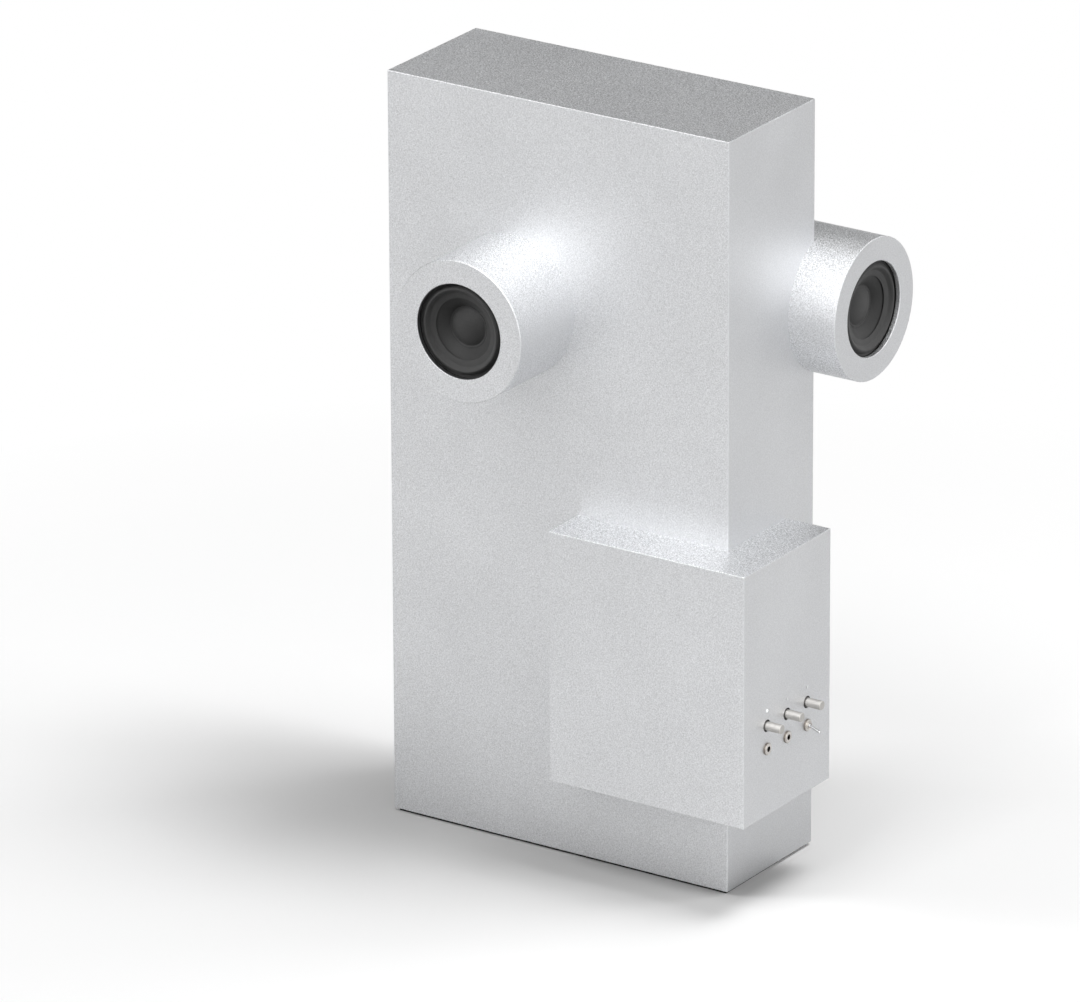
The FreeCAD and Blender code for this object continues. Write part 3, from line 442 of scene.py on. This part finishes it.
def cone_paper(name, tone, centre, axis):
    """A coated cone: a faint fibre, a satin skin and moulding rings."""
    finish = Finish(name, {"Specular IOR Level": 0.3})
    fibre = finish.noise(0.7 * MM, detail=3.0)
    cloud = finish.noise(14 * MM)
    rings = finish.rings(CONE_RING, finish.radius_from(centre, axis), share=0.4)
    colour = finish.shaded(tone, fibre, low=0.90, high=1.10)
    finish.colour(finish.shaded(colour, cloud, low=0.92, high=1.08))
    finish.gloss(fibre, low=0.50, high=0.62)
    finish.bump(rings, depth=0.010 * MM)
    finish.bump(fibre, depth=0.014 * MM)
    return finish.material


def woven(name, tone):
    """Resin-dipped cloth with its weave showing."""
    finish = Finish(name)
    weave = finish.maths("MULTIPLY", finish.waves(THREAD, "X"), finish.waves(THREAD, "Z"))
    cloud = finish.noise(5 * MM)
    colour = finish.shaded(tone, weave, low=0.65, high=1.15, start=0.0, end=1.0)
    finish.colour(finish.shaded(colour, cloud, low=0.85, high=1.12))
    finish.gloss(cloud, low=0.68, high=0.82)
    finish.bump(weave, depth=0.08 * MM)
    return finish.material


def circuit_board(name, tone, run_tone):
    """A solder-masked board: a faint glass weave, and runs of copper under the mask."""
    finish = Finish(name)
    weave = finish.waves(GLASS_WEAVE, "DIAGONAL")
    cells = finish.cells(BOARD_RUN, stretch=RUN_STRETCH)
    runs = finish.spread(cells, 0.0, 1.0, RUN_STARTS, RUN_ENDS)
    colour = finish.mix(tone, run_tone, runs)
    finish.colour(finish.shaded(colour, weave, low=0.92, high=1.06, start=0.0, end=1.0))
    finish.gloss(weave, low=0.30, high=0.42, start=0.0, end=1.0)
    finish.bump(runs, depth=0.03 * MM)
    return finish.material


def ferrite(name, tone):
    """Sintered ferrite: a dark, matte, slightly speckled ceramic."""
    finish = Finish(name)
    specks = finish.cells(0.8 * MM)
    grit = finish.noise(0.5 * MM, detail=3.0)
    finish.colour(finish.shaded(tone, specks, low=0.8, high=1.4, start=0.0, end=0.5))
    finish.gloss(specks, low=0.6, high=0.8, start=0.0, end=0.5)
    finish.bump(grit, depth=0.03 * MM)
    return finish.material


def lamp_lens(name, tone, glow=0.0):
    """A small moulded lens, milky or lit from inside."""
    milk = {"Subsurface Weight": LENS_MILK, "Subsurface Radius": (LENS_SCATTER,) * 3}
    finish = Finish(name, {"IOR": LENS_INDEX, **milk})
    cloud = finish.noise(0.6 * MM, detail=1.0)
    finish.colour(finish.shaded(tone, cloud, low=0.92, high=1.06))
    finish.gloss(cloud, low=0.18, high=0.28)
    finish.bump(cloud, depth=0.01 * MM)
    if glow:
        light = finish.shaded(LENS_LIGHT, cloud, low=0.9, high=1.05)
        finish.put(light, finish.shader.inputs["Emission Color"])
        finish.put(glow, finish.shader.inputs["Emission Strength"])
    return finish.material


# Turned pieces: a closed outline of (radius, height) points, in millimetres, swept round an axis.

ON_AXIS = 1e-6
ROUND_SHARP = 30.0
# The share of a side that the rounding of one of its corners may take.
ROUNDING_SHARE = 0.45


def arc(centre, radius, start, end, steps):
    """Points on an arc, in degrees."""
    points = []
    for step in range(steps + 1):
        angle = math.radians(start + (end - start) * step / steps)
        points.append((centre[0] + radius * math.cos(angle), centre[1] + radius * math.sin(angle)))
    return points


def softened(points, radius, steps=4):
    """The closed outline with each corner rounded."""
    rounded = []
    for index, point in enumerate(points):
        corner = Vector(point)
        before = Vector(points[index - 1]) - corner
        after = Vector(points[(index + 1) % len(points)]) - corner
        reach = min(radius, before.length * ROUNDING_SHARE, after.length * ROUNDING_SHARE)
        first = corner + before.normalized() * reach
        last = corner + after.normalized() * reach
        for step in range(steps + 1):
            share = step / steps
            bend = first * (1 - share) ** 2 + corner * 2 * share * (1 - share) + last * share ** 2
            rounded.append((bend.x, bend.y))
    return rounded


def placed(axis, centre, across, height):
    """The point at a place across a turning axis and a height along it. Front heights run towards -y."""
    if axis == FRONT_AXIS:
        return (centre[0] + across[0], centre[1] - height, centre[2] + across[1])
    return (centre[0] + height, centre[1] + across[0], centre[2] + across[1])


def hexagon_reach(angle):
    """How much farther than its flats a hexagon reaches at an angle."""
    from_flat = (angle + math.pi / 6) % (math.pi / 3) - math.pi / 6
    return 1 / math.cos(from_flat)


def swept(outline, centre, axis, segments, hexagons=()):
    """Vertices and faces of an outline swept round an axis. Outline points in hexagons sweep six-sided."""
    vertices = []
    faces = []
    rows = []
    for index, (radius, height) in enumerate(outline):
        row = []
        count = 1 if radius < ON_AXIS else segments
        for segment in range(count):
            angle = 2 * math.pi * segment / segments
            reach = radius * MM if count > 1 else 0.0
            if index in hexagons:
                reach *= hexagon_reach(angle)
            row.append(len(vertices))
            across = (reach * math.cos(angle), reach * math.sin(angle))
            vertices.append(placed(axis, centre, across, height * MM))
        rows.append(row)
    for index, row in enumerate(rows):
        following = rows[(index + 1) % len(rows)]
        if len(row) == 1 and len(following) == 1:
            continue
        for segment in range(segments):
            after = (segment + 1) % segments
            if len(row) == 1:
                faces.append((row[0], following[after], following[segment]))
            elif len(following) == 1:
                faces.append((row[segment], row[after], following[0]))
            else:
                faces.append((row[segment], row[after], following[after], following[segment]))
    return vertices, faces


def turned(name, outline, centre, axis, material, segments, sharp=ROUND_SHARP):
    """A solid of revolution from a closed outline. Heights run outwards from centre."""
    return shaped(name, *swept(outline, centre, axis, segments), material, sharp)


def shaped(name, vertices, faces, material, sharp):
    """A smooth-shaded object with its normals outwards and its sharp edges marked."""
    mesh = bpy.data.meshes.new(name)
    mesh.from_pydata(vertices, [], faces)
    mesh.validate()
    if volume_of(mesh) < 0:
        mesh.flip_normals()
    mesh.polygons.foreach_set("use_smooth", [True] * len(mesh.polygons))
    mesh.set_sharp_from_angle(angle=math.radians(sharp))
    mesh.materials.append(material)
    return show(name, mesh)


def volume_of(mesh):
    """Signed volume of a closed mesh."""
    mesh.calc_loop_triangles()
    place = np.array([vertex.co for vertex in mesh.vertices])
    corners = np.array([triangle.vertices for triangle in mesh.loop_triangles])
    first, second, third = (place[corners[:, index]] for index in range(3))
    return float(np.einsum("ij,ij->i", first, np.cross(second, third)).sum()) / 6


# Drivers: each is turned about its pod's axis, with heights from the pod's face.

def mouth_centre(side, axis):
    """Where the driver's axis passes through its pod's face."""
    centre = middle_of(side + "_cone")
    pod_low, pod_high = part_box(side + "_pod")
    if axis == FRONT_AXIS:
        centre.y = pod_low.y
    else:
        centre.x = pod_high.x
    return centre


DRIVERS = {
    "front": (mouth_centre("front", FRONT_AXIS), FRONT_AXIS),
    "side": (mouth_centre("side", SIDE_AXIS), SIDE_AXIS),
}
MOUTH_RADIUS = 31.0 * MM
# Painted shade on each mouth's wall beside its pod; painted light on the front driver's black and painted
# shade on the side driver's black, beside a middle one, as in the photo.
MOUTH_PAINTED_SHADE = {"front": 0.22, "side": 0.90}
DRIVER_PAINTED_LIGHT_AND_SHADE = {"front": 1.25, "side": 0.80}

ROLL_MIDDLE = 26.8
ROLL_HALF = 3.0
ROLL_FOOT = -4.42
ROLL_RISE = 2.5
ROLL_FULLNESS = 0.85
ROLL_STEPS = 48
ROLL_SEGMENTS = 256
SKIN = 0.5
LAP_ON_CONE = [(20.3, -5.66), (20.35, -5.42), (20.6, -5.30), (23.2, -4.50)]
LAP_UNDERSIDE = [(23.6, -5.03)]
FOOT_EDGE = 34.0
FOOT_OUTSIDE = [(FOOT_EDGE - 0.1, ROLL_FOOT), (FOOT_EDGE, -4.5), (FOOT_EDGE, -4.95), (30.0, -5.0)]

DOME_EDGE = 11.7
DOME_FOOT = -11.0
DOME_TOP = -7.85
DOME_STEPS = 24
CAP_SKIN = 0.35
CAP_SEGMENTS = 160
CAP_GROOVE = [(12.05, -11.28), (12.4, -11.40), (12.8, -11.36)]
CAP_RIM = [(13.2, -11.08), (13.42, -10.98), (13.56, -11.04)]
CAP_RIM_UNDERSIDE = (13.6, -11.26)

SPIDER_MIDDLE = -14.75
SPIDER_WAVE = 0.62
SPIDER_WAVES = 3
SPIDER_SKIN = 0.45
SPIDER_FROM = 12.9
SPIDER_TO = 23.0
SPIDER_EDGE = 25.5
SPIDER_STEPS = 60
SPIDER_SEGMENTS = 144
SPIDER_SHARP = 60.0


def surround_outline():
    """Soft half-roll of moulded rubber with a flat outer foot and a sloping lap glued to the cone."""
    roll = []
    for step in range(ROLL_STEPS + 1):
        across = -ROLL_HALF + 2 * ROLL_HALF * step / ROLL_STEPS
        lift = 0.5 + 0.5 * math.cos(math.pi * across / ROLL_HALF)
        roll.append((ROLL_MIDDLE + across, ROLL_FOOT + ROLL_RISE * lift ** ROLL_FULLNESS))
    under = [(radius, height - SKIN) for radius, height in roll[::-1]]
    return LAP_ON_CONE + roll + FOOT_OUTSIDE + under + LAP_UNDERSIDE


def cap_outline():
    """Dust cap: a domed middle, a sunk glue groove and a rim that lies on the cone."""
    rise = DOME_TOP - DOME_FOOT
    ball = (DOME_EDGE ** 2 + rise ** 2) / (2 * rise)
    reach = math.degrees(math.asin(DOME_EDGE / ball))
    dome = arc((0.0, DOME_TOP - ball), ball, 90, 90 - reach, DOME_STEPS)
    top = [(0.0, DOME_TOP)] + dome[1:] + CAP_GROOVE + CAP_RIM
    under = [(radius, height - CAP_SKIN) for radius, height in top[:-1]]
    return top + [CAP_RIM_UNDERSIDE] + under[::-1]


def spider_outline():
    """Corrugated cloth disc with a flat glued edge."""
    face = SPIDER_MIDDLE + SPIDER_SKIN / 2
    top = []
    for step in range(SPIDER_STEPS + 1):
        share = step / SPIDER_STEPS
        radius = SPIDER_FROM + (SPIDER_TO - SPIDER_FROM) * share
        wave = SPIDER_WAVE * math.sin(2 * math.pi * SPIDER_WAVES * share)
        top.append((radius, face + wave))
    top.append((SPIDER_EDGE, face))
    return top + [(radius, height - SPIDER_SKIN) for radius, height in top[::-1]]


def radial_weights(piece, centre, axis):
    """Measures the piece's points across its axis, and does nothing more with them."""
    place = np.zeros(len(piece.data.vertices) * 3, np.float32)
    piece.data.vertices.foreach_get("co", place)
    place = place.reshape(-1, 3) - np.array(centre, np.float32)
    place[:, "xyz".index(axis)] = 0.0


def make_driver(side, rubber, cloth, paper):
    """Surround, spider and dust cap of one driver. The dust cap moves with the cone."""
    centre, axis = DRIVERS[side]
    body = side + "_cone"

    surround = turned(side + "_half_roll", surround_outline(), centre, axis, rubber, ROLL_SEGMENTS)
    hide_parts(side + "_surround")
    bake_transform(surround)
    radial_weights(surround, centre, axis)

    name = side + "_suspension"
    spider = turned(name, spider_outline(), centre, axis, cloth, SPIDER_SEGMENTS, SPIDER_SHARP)
    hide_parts(side + "_spider")
    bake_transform(spider)
    radial_weights(spider, centre, axis)

    cap = turned(side + "_domed_cap", cap_outline(), centre, axis, paper, CAP_SEGMENTS)
    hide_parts(side + "_dust_cap")
    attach(cap, body)


# Controls on the right wall, from front to back.

CONTROL_ROWS = ("left", "middle", "right")
WALL_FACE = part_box("toggle_nut")[0].x
SOCKETS = (middle_of("audio_socket_left"), middle_of("audio_socket_middle"))
TOGGLE = middle_of("toggle_nut")
KNOB_TONE = (0.60, 0.585, 0.56)
KNOB_ROUGHNESS = 0.40
# A black ring in each knob's hole stands in as painted shade for the gap round the knob.
SHADE_RING_INSIDE = 3.08
SHADE_RING_OUTSIDE = 3.97
SHADE_RING_FOOT = -1.2
SHADE_RING_TOP = -0.2
SHADE_RING_SLOPE = 0.15
SHADE_RING_ROUNDING = 0.12
SHADE_RING_SEGMENTS = 64


def make_knob_shade_ring(row, material):
    """A black rubber ring in the wall's hole, round the knob and clear of it, that stands in as painted shade
    for the gap.
    """
    corners = [(SHADE_RING_INSIDE, SHADE_RING_FOOT), (SHADE_RING_OUTSIDE, SHADE_RING_FOOT)]
    corners += [(SHADE_RING_OUTSIDE, SHADE_RING_TOP), (SHADE_RING_INSIDE, SHADE_RING_TOP - SHADE_RING_SLOPE)]
    outline = softened(corners, SHADE_RING_ROUNDING)
    centre = middle_of("knob_" + row)
    centre.x = WALL_FACE
    seal = turned("knob_shade_ring_" + row, outline, centre, SIDE_AXIS, material, SHADE_RING_SEGMENTS)
    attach(seal, "cabinet")


# Screws of the back panel: two uprights of four and one in the middle of each end.

PANEL_LOW, PANEL_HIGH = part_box("back_panel")
SCREW_INSET = 4.7 * MM
ROW_INSET = 9.7 * MM
SCREW_ROWS = 4
SCREW_LENGTH = 9.0
SCREW_POINT = 0.2
SHANK_RADIUS = 2.0
HEAD_RADIUS = 3.9
HEAD_DEPTH = 1.9
HEAD_BREAK = 0.12
SOCKET_HALF = 1.25
SOCKET_DEPTH = 1.6
EDGE_BREAK = 0.1
SCREW_OUTLINE = [
    (0.0, SOCKET_DEPTH),
    (SOCKET_HALF, SOCKET_DEPTH),
    (SOCKET_HALF, EDGE_BREAK),
    (SOCKET_HALF + EDGE_BREAK, 0.0),
    (HEAD_RADIUS - HEAD_BREAK, 0.0),
    (HEAD_RADIUS, EDGE_BREAK),
    (SHANK_RADIUS, HEAD_DEPTH),
    (SHANK_RADIUS, SCREW_LENGTH - SCREW_POINT),
    (SHANK_RADIUS - SCREW_POINT, SCREW_LENGTH),
    (0.0, SCREW_LENGTH),
]
# The points of the outline that belong to the hexagon socket.
SOCKET_POINTS = (1, 2, 3)
SCREW_SEGMENTS = 48
SCREW_SHARP = 25.0


def screw_centres():
    """Where each screw's axis passes through the panel's face."""
    left = PANEL_LOW.x + SCREW_INSET
    right = PANEL_HIGH.x - SCREW_INSET
    lowest = PANEL_LOW.z + ROW_INSET
    highest = PANEL_HIGH.z - ROW_INSET
    heights = [lowest + (highest - lowest) * row / (SCREW_ROWS - 1) for row in range(SCREW_ROWS)]
    centres = [Vector((across, PANEL_HIGH.y, up)) for across in (left, right) for up in heights]
    for up in (PANEL_LOW.z + SCREW_INSET, PANEL_HIGH.z - SCREW_INSET):
        centres.append(Vector(((left + right) / 2, PANEL_HIGH.y, up)))
    return centres


def make_panel_screws(material):
    """Countersunk screws with a hexagon socket, flush with the panel. Their heights run inwards."""
    vertices = []
    faces = []
    for centre in screw_centres():
        points, sides = swept(SCREW_OUTLINE, centre, FRONT_AXIS, SCREW_SEGMENTS, SOCKET_POINTS)
        faces += [tuple(corner + len(vertices) for corner in side) for side in sides]
        vertices += points
    screws = shaped("panel_screw_set", vertices, faces, material, SCREW_SHARP)
    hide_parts("back_panel_screws")
    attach(screws, "cabinet")


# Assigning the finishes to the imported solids.

def dark(level, side):
    """A neutral dark tone for one side's driver, with painted light for the front driver and painted shade
    for the side one.
    """
    return (level * DRIVER_PAINTED_LIGHT_AND_SHADE[side],) * 3


def finish_nodes(table):
    """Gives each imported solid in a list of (names, material) its material."""
    for names, material in table:
        for name in names:
            for material_slot in nodes[name].material_slots:
                material_slot.material = material


# Stage: a pale floor that keeps the object's shadow and fades to white away from it.

FLOOR_HALF = 12.0
FLOOR_TONE = (0.70, 0.70, 0.70)
FLOOR_MIRRORED = (0.81, 0.81, 0.81)
FLOOR_SEEN = (0.97, 0.97, 0.97)
FLOOR_HAZE = 0.8
FADE_STARTS = 0.34
FADE_ENDS = 0.80


def floor_finish():
    """A tone for each kind of look: from the camera, in a mirror, or as light on matt surfaces."""
    finish = Finish("floor_finish", {"Roughness": 0.9, "Specular IOR Level": 0.1})
    haze = finish.noise(FLOOR_HAZE)
    grit = finish.noise(0.9 * MM)
    ray = finish.add("ShaderNodeLightPath").outputs
    straight = finish.seen_straight(ray)
    mirrored = ray["Is Glossy Ray"]
    tone = finish.mix(FLOOR_TONE, FLOOR_MIRRORED, mirrored)
    tone = finish.mix(tone, FLOOR_SEEN, straight)
    finish.colour(finish.shaded(tone, haze, low=0.997, high=1.003))
    finish.bump(grit, depth=0.01 * MM)

    far_tone = finish.mix(FLOOR_MIRRORED, WHITE, straight)
    bright = finish.add("ShaderNodeEmission", {"Color": far_tone, "Strength": 1.0})
    distance = finish.radius_from((0.0, 0.0, 0.0), "z")
    far = finish.spread(distance, 0.0, 1.0, FADE_STARTS, FADE_ENDS)
    seen = finish.maths("MAXIMUM", straight, mirrored)
    fade = finish.maths("MULTIPLY", seen, far)
    faded = finish.either(fade, finish.shader.outputs["BSDF"], bright.outputs["Emission"])
    finish.put(faded, finish.surface)
    return finish.material


def make_floor():
    """A square floor under the object."""
    mesh = bpy.data.meshes.new("floor")
    corners = [(-FLOOR_HALF, -FLOOR_HALF, 0), (FLOOR_HALF, -FLOOR_HALF, 0)]
    corners += [(FLOOR_HALF, FLOOR_HALF, 0), (-FLOOR_HALF, FLOOR_HALF, 0)]
    mesh.from_pydata(corners, [], [(0, 1, 2, 3)])
    mesh.materials.append(floor_finish())
    floor = show("floor", mesh)


# World: white to the camera. Metal sees soft boxes round a dim room, and matt surfaces an even light.

AMBIENT = 0.08
ROOM = 0.25
BOX_HALF_WIDTH = 34.0
# Each soft box: azimuth from the right and height in degrees, and level.
SOFT_BOXES = (
    (330, 8, 1.67),
    (300, 8, 0.85),
    (60, 30, 1.12),
    (240, 30, 0.85),
    (270, 30, 1.60),
    (0, 55, 1.60),
    (180, 55, 0.85),
    (270, 55, 2.15),
    (315, 55, 1.15),
    (0, 85, 0.50),
)


def soft_box(studio, toward, azimuth, height, level):
    """A round patch of sky that fades smoothly from level at its middle to nothing at its edge."""
    turn = math.radians(azimuth)
    rise = math.radians(height)
    middle = (math.cos(rise) * math.cos(turn), math.cos(rise) * math.sin(turn), math.sin(rise))
    near = studio.vector_maths("DOT_PRODUCT", toward, middle)["Value"]
    edge = math.cos(math.radians(BOX_HALF_WIDTH))
    return studio.spread(near, 0.0, level, start=edge, end=1.0, kind="SMOOTHSTEP")


def backdrop(studio, strength):
    """A white background."""
    return studio.add("ShaderNodeBackground", {"Color": WHITE, "Strength": strength}).outputs["Background"]


def make_world():
    """Metal mirrors the soft boxes where it is seen, but throws none of their light on matt surfaces."""
    world = bpy.data.worlds.new("studio")
    bpy.context.scene.world = world
    world.use_nodes = True
    world.cycles.sampling_method = "NONE"
    world.node_tree.nodes.clear()
    studio = Graph(world.node_tree)
    ray = studio.add("ShaderNodeLightPath").outputs
    toward = studio.add("ShaderNodeTexCoord").outputs["Generated"]
    shine = ROOM
    for box in SOFT_BOXES:
        shine = studio.maths("ADD", shine, soft_box(studio, toward, *box))
    mirrored = backdrop(studio, studio.maths("MULTIPLY", shine, studio.before_bounce(ray)))
    indirect = studio.either(ray["Is Glossy Ray"], backdrop(studio, AMBIENT), mirrored)
    surround = studio.either(studio.seen_straight(ray), indirect, backdrop(studio, 1.0))
    studio.add("ShaderNodeOutputWorld", {"Surface": surround})


# Lamps: they light the floor and the matt pieces. Metal doesn't mirror them, since it sees the soft boxes.

AIM = Vector((0.0, 0.0, 0.25))
# Each lamp: name, place, side of its square and radiance.
LAMPS = (
    ("key_wide", (0.67, 0.39, 3.00), 1.4, 5.0),
    ("key_near", (0.87, 0.32, 2.95), 0.7, 8.1),
    ("key_side", (0.93, 0.00, 2.95), 0.7, 6.5),
    ("top_front", (0.00, -1.41, 2.75), 0.9, 7.0),
    ("low_right", (2.83, 0.76, 0.72), 1.4, 8.3),
    ("back_right", (1.99, 1.99, 1.13), 0.9, 9.2),
    ("low_left", (-2.44, -1.41, 1.13), 0.9, 15.5),
)


def make_lamp(name, place, side, radiance):
    """A soft square lamp that faces the object. Matt surfaces don't pass its light on."""
    data = bpy.data.lights.new(name, "AREA")
    data.shape = "RECTANGLE"
    data.size = side
    data.size_y = side
    data.energy = radiance * math.pi * side * side
    data.use_nodes = True
    graph = Graph(data.node_tree)
    direct = graph.before_bounce(graph.add("ShaderNodeLightPath").outputs)
    graph.put(direct, data.node_tree.nodes["Emission"].inputs["Strength"])
    lamp = show(name, data)
    lamp.visible_glossy = False
    lamp.location = place
    lamp.rotation_euler = (AIM - Vector(place)).to_track_quat("-Z", "Y").to_euler()


# Build

bpy.context.scene.view_settings.view_transform = "Standard"
make_camera()
make_world()
for lamp_facts in LAMPS:
    make_lamp(*lamp_facts)
make_floor()

aluminium = blasted_aluminium("aluminium_finish")
panel_aluminium = blasted_aluminium("panel_finish")
pad_rubber = moulded_rubber("pad_finish", (0.012, 0.012, 0.012), 0.75)
foam = pitted_foam("foam_finish", (0.03, 0.03, 0.03))
plastic = powder_coat("plastic_finish", (0.02, 0.02, 0.021), 0.45)
basket_black = powder_coat("basket_finish", (0.015, 0.015, 0.016), 0.55)
zinc = rolled_steel("zinc_finish", (0.62, 0.63, 0.64), 0.3)
nickel = turned_metal("nickel_finish", (0.72, 0.69, 0.66), 0.2)
brass = turned_metal("brass_finish", (0.80, 0.60, 0.28), 0.25)
green_board = circuit_board("board_finish", (0.015, 0.10, 0.05), (0.03, 0.20, 0.10))
brown_board = circuit_board("terminal_finish", (0.18, 0.09, 0.03), (0.22, 0.11, 0.04))
dark_ceramic = ferrite("ferrite_finish", (0.03, 0.03, 0.032))
fins = powder_coat("fin_finish", (0.02, 0.02, 0.02), 0.4)
clear = lamp_lens("clear_lens_finish", (0.84, 0.85, 0.86))
lit = lamp_lens("lit_lens_finish", (0.90, 0.92, 0.93), glow=0.6)
chrome = polished_rod("lever_finish", (0.60, 0.605, 0.61))

for side, (centre, axis) in DRIVERS.items():
    # The driver's black gets painted light on the front driver and painted shade on the side driver.
    cone_finish = cone_paper(side + "_cone_finish", dark(0.054, side), centre, axis)
    cap_finish = cone_paper(side + "_cap_finish", dark(0.070, side), centre, axis)
    roll_finish = moulded_rubber(side + "_roll_finish", dark(0.070, side), 0.70)
    coil_finish = wound_copper(side + "_coil_finish", (0.80, 0.38, 0.20), axis)
    cloth_finish = woven(side + "_spider_finish", (0.55, 0.38, 0.12))
    # The pod's finish gets painted shade on its mouth's wall.
    mouth = (centre, axis, MOUTH_RADIUS, MOUTH_PAINTED_SHADE[side])
    finish_nodes([
        ([side + "_cone"], cone_finish),
        ([side + "_dust_cap"], cap_finish),
        ([side + "_voice_coil"], coil_finish),
        ([side + "_spider"], cloth_finish),
        ([side + "_seal_ring"], foam),
        ([side + "_basket"], basket_black),
        ([side + "_magnet"], dark_ceramic),
        ([side + "_top_plate", side + "_yoke", side + "_driver_screws"], zinc),
        ([side + "_terminals"], brown_board),
        ([side + "_pod"], blasted_aluminium(side + "_pod_finish", mouth)),
    ])
    make_driver(side, roll_finish, cloth_finish, cap_finish)

make_panel_screws(zinc)

for row in CONTROL_ROWS:
    # A black ring in the knob's hole, as painted shade for the gap.
    make_knob_shade_ring(row, pad_rubber)
    knob = "knob_" + row
    knob_finish = turned_knob(knob + "_finish", KNOB_TONE, KNOB_ROUGHNESS, middle_of(knob), SIDE_AXIS)
    finish_nodes([
        ([knob], knob_finish),
        (["pot_shaft_" + row], nickel),
        (["pot_" + row], plastic),
    ])

finish_nodes([
    (["cabinet_shell", "control_housing"], aluminium),
    (["back_panel"], panel_aluminium),
    (["base_pad"], pad_rubber),
    (["back_panel_gasket"], foam),
    (["back_panel_screws"], zinc),
    (["power_inlet", "capacitors"], plastic),
    (["power_inlet_nut", "audio_socket_left", "audio_socket_middle", "toggle_body"], nickel),
    (["socket_nuts"], nut_with_painted_rim_shade("socket_nut_finish", SOCKETS)),
    (["toggle_nut"], nut_with_painted_rim_shade("toggle_nut_finish", (TOGGLE,))),
    (["toggle_lever"], chrome),
    (["amplifier_board", "control_board"], green_board),
    (["amplifier_studs", "control_board_studs"], brass),
    (["heatsink"], fins),
    (["inductors"], dark_ceramic),
    (["lamp_middle", "lamp_right"], clear),
    (["lamp_left"], lit),
])
